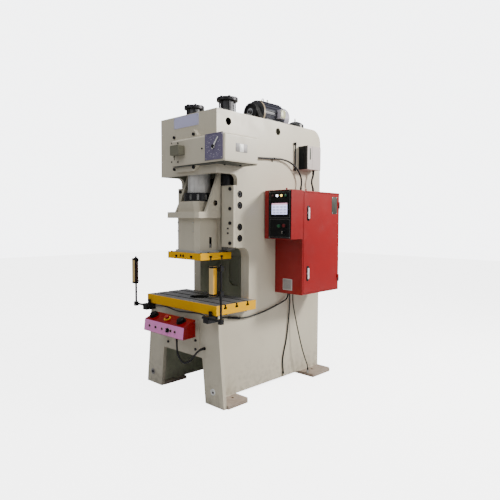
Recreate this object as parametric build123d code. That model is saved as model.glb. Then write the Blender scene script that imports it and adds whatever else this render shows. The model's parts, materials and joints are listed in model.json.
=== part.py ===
from build123d import *
import os
from math import atan2, cos, hypot, pi, radians, sin, tan

# C-frame mechanical stamping press, 45 tonne class, millimetres.
# The machine is drawn with X = 0 on its plane of symmetry, Y = 0 on the crown's front face,
# +Y to the back and Z = 0 on the floor. It is written out with its origin at the centre of
# the four anchor holes, on the floor.

# Frame
FRAME_WIDTH = 710.0
HALF = FRAME_WIDTH / 2
SIDE_PLATE = 40.0
COLUMN_LINER = 52.0
CROWN_TOP = 2290.0
CROWN_BOTTOM = 1804.0
CROWN_WALL = 45.0
REAR_Y = 1340.0
REAR_CORNER_R = 120.0
WRAP_PLATE = 28.0
WRAP_FOOT_Z = 1500.0
NOTCH_REAR_Y = 221.0
NOTCH_R = 45.0
COLUMN_FRONT_Y = 212.0
COLUMN_TOP = 1716.0
THROAT_TOP = 1215.0
THROAT_REAR_Y = 361.0
THROAT_R = 78.0
LINER_TOP = 1706.0
LINER_FOOT = 480.0
LINER_REAR_Y = 640.0
WEB_PLATE = 25.0
WEB_WINDOW_WIDTH = 300.0
WEB_WINDOW_LOW = 830.0
WEB_WINDOW_HEIGHT = 280.0
WEB_WINDOW_R = 60.0
BACK_WINDOW_WIDTH = 380.0
BACK_WINDOW_LOW = 560.0
BACK_WINDOW_HEIGHT = 620.0
LIFT_HOLE_R = 30.0
LIFT_HOLE_Z = 2206.0
LIFT_HOLE_FRONT_Y = 124.0
LIFT_HOLE_REAR_Y = 717.0
SIDE_BOLT_Y = 252.0
SIDE_BOLT_ZS = (1647.0, 1557.0, 1383.0, 1292.0)
SIDE_BOLT_POCKET_R = 29.0
SIDE_BOLT_POCKET_DEPTH = 22.0
SIDE_BOLT_HEAD_R = 22.0
SIDE_BOLT_HEAD = 18.0

# Bed and feet
BED_TOP = 716.0
BED_PLATE = 32.0
BED_OVERHANG = 26.0
BED_TABLE = 70.0
BED_HALF_TOP = 440.0
BED_HALF_KNEE = 446.0
BED_KNEE_Z = 540.0
BED_HALF_FOOT = 502.0
LEG_WINDOW_TOP = 352.0
LEG_WINDOW_HALF_TOP = 252.0
LEG_WINDOW_HALF_FOOT = 289.0
LEG_WINDOW_R = 14.0
FOOT_PLATE = 26.0
FOOT_OUT = 164.0
FOOT_IN = 70.0
FOOT_CHAMFER = 30.0
FRONT_FOOT_END_Y = 214.0
REAR_FOOT_START_Y = 1045.0
ANCHOR_X = HALF + 50.0
ANCHOR_FRONT_Y = 123.0
ANCHOR_SPACING_Y = 1055.0
ANCHOR_HOLE_R = 14.0
ANCHOR_MID_Y = ANCHOR_FRONT_Y + ANCHOR_SPACING_Y / 2

# Bolster
BOLSTER_WIDTH = 900.0
BOLSTER_DEPTH = 435.0
BOLSTER_PLATE = 76.0
BOLSTER_CHAMFER = 2.5
DIE_HOLE_R = 80.0
TABLE_SLOT_PITCH = 122.0
SLOT_NECK = 18.0
SLOT_NECK_DEPTH = 20.0
SLOT_BASE = 32.0
SLOT_BASE_DEPTH = 14.0

# Slide
STROKE = 80.0
SLIDE_AXIS_Y = 127.0
SLIDE_BODY_WIDTH = 280.0
SLIDE_BODY_FRONT_Y = -17.0
SLIDE_CHAMFER = 34.0
SLIDE_BOTTOM = 1174.0
SLIDE_SKIRT = 18.0
SLIDE_SKIRT_LIP = 6.0
SLIDE_SKIRT_WIDTH = 324.0
SLIDE_BODY = 280.0
SLIDE_LEDGE = 50.0
SLIDE_LEDGE_WIDTH = 400.0
SLIDE_LEDGE_REACH = 52.0
SLIDE_LEDGE_CHAMFER = 22.0
SLIDE_HEAD = 86.0
SLIDE_HEAD_TOP_WIDTH = 246.0
SLIDE_NECK_X = HALF - 173.0
SLIDE_NECK_PROUD = 14.0
SLIDE_GUIDE_TOP = 1696.0
SLIDE_GUIDE_DEPTH = 84.0
SLIDE_FILLET = 6.0
WING = 24.0
WING_RISE = 240.0
WING_REAR_Y = 206.0
WING_TOE_Y = 24.0
WING_BEND = (57.0, 65.0)
WING_SHOULDER = (133.0, 82.0)
WING_TOP_Y = 162.0
WING_TOP_REAR_Y = 186.0
WING_NOTCH_DROP = 12.0
WING_BEND_R = 60.0
WING_TOE_R = 18.0
WING_TOP_R = 8.0
WING_HOLE_R = 23.0
WING_HOLE_RISE = 72.0
RAM_PLATE = 57.0
RAM_PLATE_WIDTH = 424.0
RAM_PLATE_DEPTH = 338.0
RAM_SLOT_X_PITCH = 194.0
RAM_SLOT_Y_PITCH = 120.0
RAM_PLATE_CHAMFER = 2.0
SHANK_R = 20.0
RAM_SCREW_XS = (-38.0, -5.0)
RAM_SCREW_R = 9.0
RAM_SCREW_POCKET = 12.0
KNOCKOUT_SLOT = 26.0
KNOCKOUT_SLOT_RISE = 37.0
KNOCKOUT_SLOT_HEIGHT = 88.0
KNOCKOUT_BAR_HEIGHT = 32.0
KNOCKOUT_TRAVEL = 50.0
PLUNGER_R = 94.0
PLUNGER_WALL = 15.0
PLUNGER_TOP = 1915.0
PLUNGER_ROOM = 4.0
PLUNGER_BAND = 3.0
PLUNGER_BAND_HEIGHT = 22.0
RING_NUT_R = 126.0
RING_NUT_HEIGHT = 70.0
RING_NUT_NOTCHES = 12
RING_NUT_NOTCH = 18.0
RING_NUT_NOTCH_DEPTH = 12.0

# Gibs
GIB_INNER_X = HALF - 140.0
GIB_PLATE = 32.0
GIB_FOOT_Z = 1220.0
GIB_SPLIT_Z = 1315.0
GIB_CHAMFER = 2.0
GIB_RAIL = 34.0
GIB_SCREW_X = HALF - 37.0
GIB_SCREW_ZS = (1687.0, 1529.0, 1414.0, 1253.0)
GIB_SCREW_R = 14.0
GIB_SCREW_HEAD = 9.0
GIB_SET_SCREW_X = HALF - 61.0
GIB_SET_SCREW_ZS = (1371.0, 1333.0)
GIB_SET_SCREW_R = 7.0
GIB_SET_SCREW_HEAD = 7.0
RUN_GAP = 0.3

# Crank train
CRANK_Z = 1990.0
CRANK_R = STROKE / 2
JOURNAL_R = 50.0
BUSH_WALL = 14.0
BUSH_GAP = 0.05
PIN_R = 48.0
CRANK_WEB = 28.0
CRANK_WEB_R = 60.0
ROD_EYE_R = 80.0
ROD_EYE_WIDTH = 80.0
ROD_R = 30.0
ROD_LENGTH = 390.0
ROD_BALL_R = 37.0
WALL_ONE_Y = 322.0
WALL_ONE = 50.0
WALL_TWO_Y = 600.0
WALL_TWO = 40.0
WALL_TWO_FOOT = 1716.0
CLUTCH_R = 150.0
CLUTCH_Y = 655.0
CLUTCH = 60.0
SHAFT_NOSE_Y = -58.0
SHAFT_NOSE_R = 24.0
SHAFT_TAIL_Y = 845.0

# Flywheel, belts and motor
FLYWHEEL_R = 262.0
FLYWHEEL_Y = 728.0
FLYWHEEL = 72.0
FLYWHEEL_RIM = 34.0
FLYWHEEL_WEB = 22.0
FLYWHEEL_HUB_R = 84.0
FLYWHEEL_HOLES = 6
FLYWHEEL_HOLE_R = 36.0
BELT_COUNT = 3
BELT_PITCH = 19.0
BELT_WIDTH = 13.0
BELT_THICK = 10.0
BELT_GROOVE_DEPTH = 11.0
PULLEY_R = 82.0
PULLEY_HUB_R = 34.0
PULLEY_RIM = 18.0
PULLEY_RECESS = 10.0
MOTOR_Z = 2431.0
MOTOR_FRONT_Y = 802.0
MOTOR_BODY_Y = 822.0
MOTOR_BODY_END_Y = 1098.0
MOTOR_TAIL_Y = 1188.0
MOTOR_R = 114.0
MOTOR_FIN = 9.0
MOTOR_FIN_THICK = 5.0
MOTOR_FINS = 24
MOTOR_FIN_INSET = 12.0
MOTOR_SHIELD_R = 117.0
MOTOR_COWL_R = 104.0
MOTOR_SHAFT_R = 19.0
MOTOR_BORE = 60.0
MOTOR_FOOT_X = 92.0
MOTOR_FOOT = 60.0
MOTOR_FOOT_WEB = 18.0
MOTOR_FOOT_PLATE = 14.0
MOTOR_FOOT_INSET = 26.0
MOTOR_RAIL = 72.0
MOTOR_RAIL_MARGIN = 6.0
MOTOR_PAD = 10.0
MOTOR_BOX_OUT_X = 158.0
MOTOR_BOX_FRONT_Y = 982.0
MOTOR_BOX_DEPTH = 70.0
MOTOR_BOX_HEIGHT = 82.0
MOTOR_EYE_Y = 905.0
MOTOR_EYE_R = 13.0
MOTOR_EYE_WIRE_R = 4.0
BELT_SLOT_WIDTH = 336.0
BELT_SLOT_MARGIN = 12.0

# Balance cylinders
BALANCE_X = HALF - 145.0
BALANCE_Y = 248.0
BALANCE_R = 57.0
BALANCE_BORE_R = 48.0
BALANCE_FOOT_Z = 1722.0
BALANCE_GLAND = 24.0
BALANCE_TOP_Z = 2402.0
BALANCE_CAP_R = 87.0
BALANCE_CAP = 26.0
BALANCE_COLLAR_R = 76.0
BALANCE_COLLAR = 12.0
BALANCE_ROD_R = 15.0
BALANCE_PISTON = 26.0
BALANCE_PISTON_Z = 2300.0
BALANCE_TIE_R = 6.0
BALANCE_TIE_REACH = 67.0
BALANCE_NUT_R = 10.0
BALANCE_NUT = 9.0
BALANCE_PORT_Z = 2335.0
BALANCE_PORT_R = 9.0
BALANCE_PORT_REACH = 92.0

# Air tank
TANK_X = HALF - 150.0
TANK_Y = 1140.0
TANK_R = 80.0
TANK_FLANGE_R = 96.0
TANK_FLANGE = 12.0
TANK_FOOT_Z = 1990.0
TANK_SHOULDER_Z = 2340.0
TANK_DOME = 34.0

# Crown front: bearing cover, cam cover and dial
BANNER_LEFT_X = -170.0
BANNER_RIGHT_X = 145.0
BANNER_LOW_Z = 2192.0
BANNER_HIGH_Z = 2284.0
BANNER_PLATE = 2.0
COVER_HALF = 168.0
COVER_LOW_Z = 1829.0
COVER_HIGH_Z = 2152.0
COVER_PLATE = 32.0
COVER_CHAMFER = 50.0
COVER_BOLT_X = 124.0
COVER_BOLT_RISE = 26.0
COVER_BOLT_DROP = 38.0
COVER_BOLT_R = 12.0
COVER_BOLT_HEAD = 12.0
CAM_LEFT_X = -108.0
CAM_RIGHT_X = HALF + 157.0
CAM_FRONT_Y = -70.0
CAM_REAR_Y = 290.0
CAM_LOW_Z = 1868.0
CAM_HIGH_Z = 2082.0
CAM_EDGE_R = 16.0
SHEET = 3.0
DIAL_X = HALF + 47.0
DIAL_Z = 1986.0
DIAL_SIZE = 196.0
DIAL_PLATE = 3.0
SPINDLE = 40.0
POINTER_LENGTH = 84.0
POINTER_ANGLE = 38.0
SWITCH_BOX_WIDTH = 112.0
SWITCH_BOX_DEPTH = 62.0
SWITCH_BOX_HEIGHT = 78.0

# Electrical cabinet and operator panel
CABINET_X = HALF + 299.0
CABINET_FRONT_Y = 690.0
CABINET_REAR_Y = 1229.0
CABINET_LOW_Z = 812.0
CABINET_HIGH_Z = 1687.0
CABINET_BORDER = 15.0
CABINET_FOLD_R = 4.0
PANEL_STANDOFF = 12.0
PANEL_MARGIN = 40.0
PANEL_POST_R = 6.0
PANEL_POST_INSET = 30.0
BREAKER_WIDTH = 50.0
BREAKER_HEIGHT = 100.0
BREAKER_DEPTH = 78.0
RELAY_WIDTH = 38.0
RELAY_HEIGHT = 90.0
RELAY_DEPTH = 62.0
COMPONENT_GAP = 12.0
INVERTER_WIDTH = 210.0
INVERTER_HEIGHT = 200.0
INVERTER_DEPTH = 120.0
TERMINAL_STRIP_HEIGHT = 45.0
TERMINAL_STRIP_DEPTH = 40.0
DOOR_GAP = 2.5
DOOR = 14.0
DOOR_PROUD = 2.0
HINGE_R = 6.0
HINGE_PIN_R = 3.0
HINGE_HEIGHT = 60.0
HINGE_INSET = 110.0
LEVER = 8.0
LEVER_COLLAR = 4.0
LEVER_COLLAR_R = 12.0
LEVER_CAM = 4.0
LEVER_Y = 763.0
LEVER_ZS = (1500.0, 992.0)
LEVER_LENGTH = 94.0
LEVER_WIDTH = 16.0
LEVER_SPINDLE_R = 6.0
PANEL_LEFT_X = HALF + 13.0
PANEL_FRONT_Y = 540.0
PANEL_LOW_Z = 1284.0
PANEL_HIGH_Z = 1689.0
FACE_LEFT_X = HALF + 59.0
FACE = 5.0
SCREEN_LOW_Z = 1486.0
SCREEN_HIGH_Z = 1581.0
SCREEN_LEFT_X = HALF + 94.0
SCREEN_RIGHT_X = HALF + 262.0
LAMP_Z = 1641.0
LAMP_XS = (HALF + 111.0, HALF + 159.0, HALF + 205.0, HALF + 249.0)
LAMP_R = 13.0
LAMP = 9.0
BEZEL = 12.0
START_AT = (HALF + 180.0, 1392.0)
STOP_AT = (HALF + 234.0, 1395.0)
SELECTOR_AT = (HALF + 228.0, 1342.0)
BUTTON_R = 14.0
BUTTON_STEM_R = 9.0
BUTTON_TRAVEL = 4.0
BUTTON_PROUD = 14.0
BUTTON_COLLAR = 5.0
BUTTON_REAR = 14.0
BUTTON_CLIP = 4.0

# Side fittings
DRIVE_BOX_X = HALF + 100.0
DRIVE_BOX_FRONT_Y = 1006.0
DRIVE_BOX_REAR_Y = 1212.0
DRIVE_BOX_LOW_Z = 1903.0
DRIVE_BOX_HIGH_Z = 2112.0
DRIVE_BOX_EDGE_R = 5.0
DRIVE_SLOT = 7.0
DRIVE_SLOT_PITCH = 13.0
DRIVE_SLOT_DEPTH = 16.0
DRIVE_SLOT_MARGIN = 10.0
TUBE_Y = 943.0
TUBE_LOW_Z = 1886.0
TUBE_HIGH_Z = 2140.0
TUBE_R = 6.0
TUBE_FITTING_R = 9.0
TUBE_FITTING = 24.0
TUBE_STANDOFF = 13.0

# Two-hand station
STATION_LEFT_X = -268.0
STATION_RIGHT_X = 250.0
STATION_FRONT_LOW = (-250.0, 525.0)
STATION_FRONT_HIGH = (-238.0, 620.0)
STATION_REAR_HIGH = (-126.0, 667.0)
STATION_REAR_LOW = (-126.0, 531.0)
STATION_FOLD_R = 3.0
PALM_XS = (-213.0, 147.0)
PALM_R = 33.0
PALM_STEM_R = 10.0
PALM_TRAVEL = 6.0
PALM_PROUD = 30.0
PALM_HEAD = 16.0
PALM_CROWN_R = 11.0
PALM_COLLAR_R = 40.0
PALM_COLLAR = 5.0
ESTOP_X = -32.0
ESTOP_R = 19.0
ESTOP_PROUD = 27.0
ESTOP_HEAD = 12.0
ESTOP_CROWN_R = 5.0
ESTOP_COLLAR_R = 30.0
ESTOP_COLLAR = 4.0
STATION_SELECTOR_X = 56.0
STATION_SELECTOR_R = 17.0
STATION_GRIP = 9.0
STATION_KEYS_X = (-189.0, -106.0, -20.0, 95.0, 147.0)
STATION_KEY_R = 9.0
STATION_KEY = 8.0
BRACKET_HALF = 222.0
BRACKET_PLATE = 6.0
BRACKET_LOW_Z = 385.0
BRACKET_HIGH_Z = 640.0
BRACKET_ARM_X = 140.0
BRACKET_ARM = 10.0
BRACKET_ARM_TOE = 90.0
BRACKET_ARM_DROP = 10.0
BRACKET_SCREW_INSET = 42.0
BRACKET_SCREW_RISES = (25.0, 97.0)
BRACKET_SCREW_R = 10.0
BRACKET_SCREW_HEAD = 9.0

# Light curtains
POST_X = HALF + 198.0
POST_Y = -137.0
POST_R = 9.0
POST_LOW_Z = 686.0
POST_HIGH_Z = 1117.0
ARM_Z = 700.0
ARM_R = 9.0
CLAMP_INNER_X = HALF + 17.0
CLAMP_OUTER_X = HALF + 73.0
CLAMP_FRONT_Y = -152.0
CLAMP_LOW_Z = 664.0
CLAMP_KNOB_R = 12.0
CLAMP_KNOB = 20.0
BAR_X = HALF + 152.0
BAR_Y = -174.0
BAR_WIDTH = 46.0
BAR_DEPTH = 38.0
BAR_EDGE_R = 4.0
BAR_LOW_Z = 886.0
BAR_HIGH_Z = 1104.0
BAR_GROOVE = 2.0
BAR_GROOVE_MARGIN = 9.0
BAR_BRACKET = 12.0

# Free cables: diameter and route, each route a list of points chosen along the real lead.
# A run on the right side has X from the side plate's face. The curtain's run is drawn for
# clamps that stand a span apart.
GLAND = 16.0
GLAND_NUT = 6.0
CAM_CABLE = 16.0
CAM_CABLE_RUN = ((33, 306, 1950), (33, 366, 1950), (29, 440, 1952), (25, 520, 1957),
                 (23, 602, 1963), (24, 690, 1969), (27, 778, 1967), (32, 860, 1948),
                 (37, 928, 1911), (39, 977, 1862), (40, 1001, 1810), (40, 1001, 1765),
                 (40, 993, 1734), (40, 993, 1703))
DRIVE_CABLE = 16.0
DRIVE_CABLE_RUN = ((50, 1166, 1887), (50, 1166, 1866), (49, 1160, 1842), (48, 1149, 1820),
                   (47, 1145, 1795), (48, 1149, 1770), (49, 1160, 1748), (50, 1166, 1724),
                   (50, 1166, 1703))
STATION_CABLE = 15.0
STATION_CABLE_ROUTE = ((88, -182, 511), (88, -182, 471), (88, -181, 430), (94, -180, 389),
                       (112, -179, 352), (142, -178, 328), (180, -177, 322), (216, -174, 334),
                       (247, -168, 358), (265, -158, 385), (275, -143, 408), (280, -123, 425),
                       (282, -98, 434), (282, -74, 434))
TABLE_CABLE = 13.0
TABLE_CABLE_RUN = ((25, 843, 796), (25, 843, 774), (24, 836, 752), (22, 821, 734), (19, 798, 722),
                   (16, 766, 713), (13, 716, 699), (12, 640, 680), (12, 560, 663), (12, 478, 652),
                   (12, 398, 644), (13, 320, 639), (13, 248, 642), (14, 182, 653), (16, 124, 664),
                   (20, 72, 673), (21, 30, 676), (21, -10, 676))
FLOOR_CABLE = 11.0
FLOOR_CABLE_RUN = ((17, 876, 796), (17, 876, 756), (14, 883, 690), (11, 878, 600), (9, 868, 505),
                   (7, 858, 415), (7, 840, 335), (7, 815, 265), (7, 798, 195), (8, 797, 130),
                   (8, 805, 90), (8, 805, 56))
EARTH_LEAD = 10.0
EARTH_LEAD_RUN = ((25, 911, 796), (25, 911, 760), (29, 908, 690), (41, 922, 590), (53, 941, 482),
                  (67, 962, 370), (79, 987, 265), (88, 1024, 160), (91, 1060, 95), (91, 1060, 52))
CURTAIN_CABLE = 7.0
CURTAIN_CABLE_SPAN = 744.0
CURTAIN_CABLE_RUN = ((-372, -92, 692), (-346, -92, 692), (-306, -78, 700), (-246, -68, 706),
                     (-172, -66, 701), (-96, -66, 690), (-16, -67, 688), (66, -66, 694),
                     (146, -66, 700), (224, -67, 705), (294, -76, 702), (344, -92, 692),
                     (372, -92, 692))
TERMINAL = 22.0

# Places worked out from the sizes above
INNER = HALF - SIDE_PLATE
COLUMN_INNER = INNER - COLUMN_LINER
BED_FRONT_Y = -BED_OVERHANG - BED_PLATE
BOLSTER_TOP = BED_TOP + BOLSTER_PLATE
BOLSTER_FRONT_Y = SLIDE_AXIS_Y + 2.0 - BOLSTER_DEPTH / 2
SLIDE_REAR_Y = COLUMN_FRONT_Y + RUN_GAP + SLIDE_GUIDE_DEPTH
SLIDE_LEDGE_Z = SLIDE_BOTTOM + SLIDE_BODY
SLIDE_LEDGE_TOP = SLIDE_LEDGE_Z + SLIDE_LEDGE
SLIDE_HEAD_TOP = SLIDE_LEDGE_TOP + SLIDE_HEAD
KNOCKOUT_SLOT_LOW = SLIDE_BOTTOM + KNOCKOUT_SLOT_RISE
WRAP_TOP = CROWN_TOP - WRAP_PLATE
PIN_Z = CRANK_Z + CRANK_R
ROD_BALL_Z = PIN_Z - ROD_LENGTH
FLYWHEEL_MID_Y = FLYWHEEL_Y + FLYWHEEL / 2
PULLEY_WIDTH = BELT_COUNT * BELT_PITCH + 5.0
BELT_YS = [FLYWHEEL_MID_Y + BELT_PITCH * (i - (BELT_COUNT - 1) / 2) for i in range(BELT_COUNT)]
RAM_FRONT_Y = SLIDE_AXIS_Y - RAM_PLATE_DEPTH / 2
HINGE_AXIS = (CABINET_X + DOOR_PROUD + HINGE_R + 1.0, CABINET_REAR_Y - CABINET_BORDER + DOOR_GAP / 2)
STATION_TOP_RUN = (STATION_REAR_HIGH[0] - STATION_FRONT_HIGH[0],
                   STATION_REAR_HIGH[1] - STATION_FRONT_HIGH[1])
STATION_FACE_RUN = (STATION_FRONT_HIGH[0] - STATION_FRONT_LOW[0],
                    STATION_FRONT_HIGH[1] - STATION_FRONT_LOW[1])
STATION_SLOPE = atan2(STATION_TOP_RUN[1], STATION_TOP_RUN[0])
STATION_LEAN = atan2(*STATION_FACE_RUN)
TOP_MIDDLE = hypot(*STATION_TOP_RUN) / 2
FACE_MIDDLE = hypot(*STATION_FACE_RUN) / 2


def block(x, y, z):
    """Box between (low, high) pairs along each axis."""
    size = [high - low for low, high in (x, y, z)]
    middle = [(high + low) / 2 for low, high in (x, y, z)]
    return Pos(*middle) * Box(*size)


def rod(axis, at, radius, low, high):
    """Cylinder along an axis letter. at holds the other two coordinates, in X, Y, Z order."""
    middle = (low + high) / 2
    solid = Cylinder(radius, high - low)
    if axis == "X":
        return Pos(middle, *at) * Rot(0, 90, 0) * solid
    if axis == "Y":
        return Pos(at[0], middle, at[1]) * Rot(-90, 0, 0) * solid
    return Pos(*at, middle) * solid


def ring(axis, at, outer, inner, low, high):
    """Tube along an axis letter."""
    return rod(axis, at, outer, low, high) - rod(axis, at, inner, low - 1, high + 1)


def outline(points, radii=None):
    """Flat face inside a closed run of points, with a corner radius for each point."""
    if radii is None or not any(radii):
        return make_face(Polyline(*points, close=True))
    return make_face(FilletPolyline(*points, radius=radii, close=True))


def prism(axis, low, high, points, radii=None):
    """Outline drawn in the plane across an axis letter and pushed along that axis."""
    planes = {"X": Plane((low, 0, 0), (0, 1, 0), (1, 0, 0)),
              "Y": Plane((0, low, 0), (1, 0, 0), (0, -1, 0)),
              "Z": Plane((0, 0, low), (1, 0, 0), (0, 0, 1))}
    amount = low - high if axis == "Y" else high - low
    return extrude(planes[axis] * outline(points, radii), amount)


def rect(low, high):
    """Corner points of a rectangle."""
    return [low, (high[0], low[1]), high, (low[0], high[1])]


def pair(make):
    """The right-hand solid that make gives, and its mirror image on the left."""
    right = make()
    return [right, mirror(right, Plane.YZ)]


def beside(run):
    """Run measured from the side plate's face, turned into places."""
    return [(HALF + x, y, z) for x, y, z in run]


def between_clamps(run):
    """Run drawn for one distance between the clamps, fitted to the real one."""
    stretch = 2 * CLAMP_INNER_X / CURTAIN_CABLE_SPAN
    return [(x * stretch, y, z) for x, y, z in run]


def tube(points, diameter, name):
    """Round cord along straight runs that tangent arcs join, as large as the runs allow."""
    corners = [Vector(*p) for p in points]
    radii = []
    for before, here, after in zip(corners, corners[1:], corners[2:]):
        into, out = here - before, after - here
        turn = radians(into.get_angle(out))
        radii.append(0.45 * min(into.length, out.length) / tan(turn / 2))
    path = FilletPolyline(*corners, radius=radii)
    start = Plane(origin=path @ 0, z_dir=path % 0)
    solid = sweep(start * Circle(diameter / 2), path=path)
    error = solid.volume / (pi * (diameter / 2) ** 2 * path.length) - 1
    print(f"{name}: length {path.length:.0f}, tightest radius {min(radii):.0f}, volume error {error:.4f}")
    return [solid]


def tee_slot(axis, at, low, high, mouth_z, inward):
    """T-slot cutter that opens at mouth_z and goes inward, +1 up or -1 down."""
    neck_z = mouth_z + inward * SLOT_NECK_DEPTH
    base_z = neck_z + inward * SLOT_BASE_DEPTH
    cutters = []
    for width, z0, z1 in ((SLOT_NECK, mouth_z - inward, neck_z), (SLOT_BASE, neck_z, base_z)):
        across, along, up = (at - width / 2, at + width / 2), (low - 1, high + 1), sorted((z0, z1))
        cutters.append(block(along, across, up) if axis == "X" else block(across, along, up))
    return cutters[0] + cutters[1]


def screw(axis, at, radius, seat, out, height):
    """Socket-head screw head that stands on a seat and points out along an axis, +1 or -1."""
    head = rod(axis, at, radius, *sorted((seat, seat + out * height)))
    tip = seat + out * height
    low, high = sorted((tip + out, tip - out * height * 0.55))
    hexagon = extrude(RegularPolygon(radius * 0.5, 6), high - low)
    if axis == "X":
        return head - Pos(low, *at) * Rot(0, 90, 0) * hexagon
    return head - Pos(at[0], low, at[1]) * Rot(-90, 0, 0) * hexagon


# Frame plates

def side_plate():
    """Right side plate with its throat, crown notch, lifting holes and bolt pockets."""
    points = [(-BED_OVERHANG, FOOT_PLATE), (REAR_Y, FOOT_PLATE), (REAR_Y, CROWN_TOP),
              (CROWN_WALL, CROWN_TOP), (CROWN_WALL, CROWN_BOTTOM), (NOTCH_REAR_Y, CROWN_BOTTOM),
              (NOTCH_REAR_Y, COLUMN_TOP), (COLUMN_FRONT_Y, COLUMN_TOP), (COLUMN_FRONT_Y, THROAT_TOP),
              (THROAT_REAR_Y, THROAT_TOP), (THROAT_REAR_Y, BED_TOP), (-BED_OVERHANG, BED_TOP)]
    radii = [0, 0, REAR_CORNER_R, 0, 0, NOTCH_R, 0, 0, 0, THROAT_R, 0, 0]
    plate = prism("X", INNER, HALF, points, radii)
    for y in (LIFT_HOLE_FRONT_Y, LIFT_HOLE_REAR_Y):
        plate -= rod("X", (y, LIFT_HOLE_Z), LIFT_HOLE_R, INNER - 1, HALF + 1)
    for z in SIDE_BOLT_ZS:
        plate -= rod("X", (SIDE_BOLT_Y, z), SIDE_BOLT_POCKET_R, HALF - SIDE_BOLT_POCKET_DEPTH, HALF + 1)
    return plate


def column_liner():
    """Inner plate that thickens the right column round the throat and carries the table."""
    points = [(-BED_OVERHANG, LINER_FOOT), (LINER_REAR_Y, LINER_FOOT), (LINER_REAR_Y, LINER_TOP),
              (COLUMN_FRONT_Y, LINER_TOP), (COLUMN_FRONT_Y, THROAT_TOP), (THROAT_REAR_Y, THROAT_TOP),
              (THROAT_REAR_Y, BED_TOP), (-BED_OVERHANG, BED_TOP)]
    radii = [0, 0, 0, 0, 0, THROAT_R, 0, 0]
    return prism("X", COLUMN_INNER, INNER, points, radii)


def crown_walls():
    """Front plate of the crown and two bearing walls inside it, bored for the crank bushes."""
    bore_r = JOURNAL_R + BUSH_WALL
    front = block((-HALF, HALF), (0, CROWN_WALL), (CROWN_BOTTOM, CROWN_TOP))
    front -= rod("Y", (0, CRANK_Z), bore_r, -1, CROWN_WALL + 1)
    plunger_z = (CROWN_BOTTOM - 1, PLUNGER_TOP + PLUNGER_ROOM)
    front -= rod("Z", (0, SLIDE_AXIS_Y), PLUNGER_R + PLUNGER_ROOM, *plunger_z)
    walls = [front]
    for y, thick, foot in ((WALL_ONE_Y, WALL_ONE, CROWN_BOTTOM), (WALL_TWO_Y, WALL_TWO, WALL_TWO_FOOT)):
        wall = block((-INNER, INNER), (y, y + thick), (foot, WRAP_TOP))
        walls.append(wall - rod("Y", (0, CRANK_Z), bore_r, y - 1, y + thick + 1))
    return walls


def crown_top_plate():
    """Plate bent over the crown's top and down its back, with holes for what passes through."""
    points = [(CROWN_WALL, WRAP_TOP), (REAR_Y - WRAP_PLATE, WRAP_TOP), (REAR_Y - WRAP_PLATE, WRAP_FOOT_Z),
              (REAR_Y, WRAP_FOOT_Z), (REAR_Y, CROWN_TOP), (CROWN_WALL, CROWN_TOP)]
    plate = prism("X", -INNER, INNER, points, [0, REAR_CORNER_R - WRAP_PLATE, 0, 0, REAR_CORNER_R, 0])
    for x in (-BALANCE_X, BALANCE_X):
        plate -= rod("Z", (x, BALANCE_Y), BALANCE_R + RUN_GAP, WRAP_TOP - 1, CROWN_TOP + 1)
    plate -= rod("Z", (TANK_X, TANK_Y), TANK_R + RUN_GAP, WRAP_TOP - 1, CROWN_TOP + 1)
    slot = PULLEY_WIDTH / 2 + BELT_SLOT_MARGIN
    slot_y = (FLYWHEEL_MID_Y - slot, FLYWHEEL_MID_Y + slot)
    plate -= block((-BELT_SLOT_WIDTH / 2, BELT_SLOT_WIDTH / 2), slot_y, (WRAP_TOP - 1, CROWN_TOP + 1))
    rail_y = (MOTOR_BODY_Y + MOTOR_FOOT_INSET - MOTOR_RAIL_MARGIN,
              MOTOR_BODY_END_Y - MOTOR_FOOT_INSET + MOTOR_RAIL_MARGIN)
    for x in (-MOTOR_FOOT_X, MOTOR_FOOT_X):
        plate += block((x - MOTOR_RAIL / 2, x + MOTOR_RAIL / 2), rail_y, (CROWN_TOP, CROWN_TOP + MOTOR_PAD))
    return plate


def cross_plates():
    """Web plate behind the throat and back plate, both with windows, and the bed's table plate."""
    web_y = (LINER_REAR_Y - WEB_PLATE, LINER_REAR_Y)
    web = block((-COLUMN_INNER, COLUMN_INNER), web_y, (LINER_FOOT, LINER_TOP))
    half = WEB_WINDOW_WIDTH / 2
    window = rect((-half, WEB_WINDOW_LOW), (half, WEB_WINDOW_LOW + WEB_WINDOW_HEIGHT))
    web -= prism("Y", web_y[0] - 1, web_y[1] + 1, window, [WEB_WINDOW_R] * 4)
    back = block((-INNER, INNER), (REAR_Y - WEB_PLATE, REAR_Y), (FOOT_PLATE, WRAP_FOOT_Z))
    half = BACK_WINDOW_WIDTH / 2
    window = rect((-half, BACK_WINDOW_LOW), (half, BACK_WINDOW_LOW + BACK_WINDOW_HEIGHT))
    back -= prism("Y", REAR_Y - WEB_PLATE - 1, REAR_Y + 1, window, [WEB_WINDOW_R] * 4)
    table = block((-COLUMN_INNER, COLUMN_INNER), (-BED_OVERHANG, web_y[0]), (BED_TOP - BED_TABLE, BED_TOP))
    return [web, back, table - rod("Z", (0, SLIDE_AXIS_Y), DIE_HOLE_R + 15, 0, BED_TOP + 1)]


def bed_front_plate():
    """Front plate of the bed that flares into two legs, with a window between them."""
    points = [(-BED_HALF_FOOT, 0), (-LEG_WINDOW_HALF_FOOT, 0), (-LEG_WINDOW_HALF_TOP, LEG_WINDOW_TOP),
              (LEG_WINDOW_HALF_TOP, LEG_WINDOW_TOP), (LEG_WINDOW_HALF_FOOT, 0), (BED_HALF_FOOT, 0),
              (BED_HALF_KNEE, BED_KNEE_Z), (BED_HALF_TOP, BED_TOP), (-BED_HALF_TOP, BED_TOP),
              (-BED_HALF_KNEE, BED_KNEE_Z)]
    radii = [0, 0, LEG_WINDOW_R, LEG_WINDOW_R, 0, 0, 0, 0, 0, 0]
    return prism("Y", BED_FRONT_Y, BED_FRONT_Y + BED_PLATE, points, radii)


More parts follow.
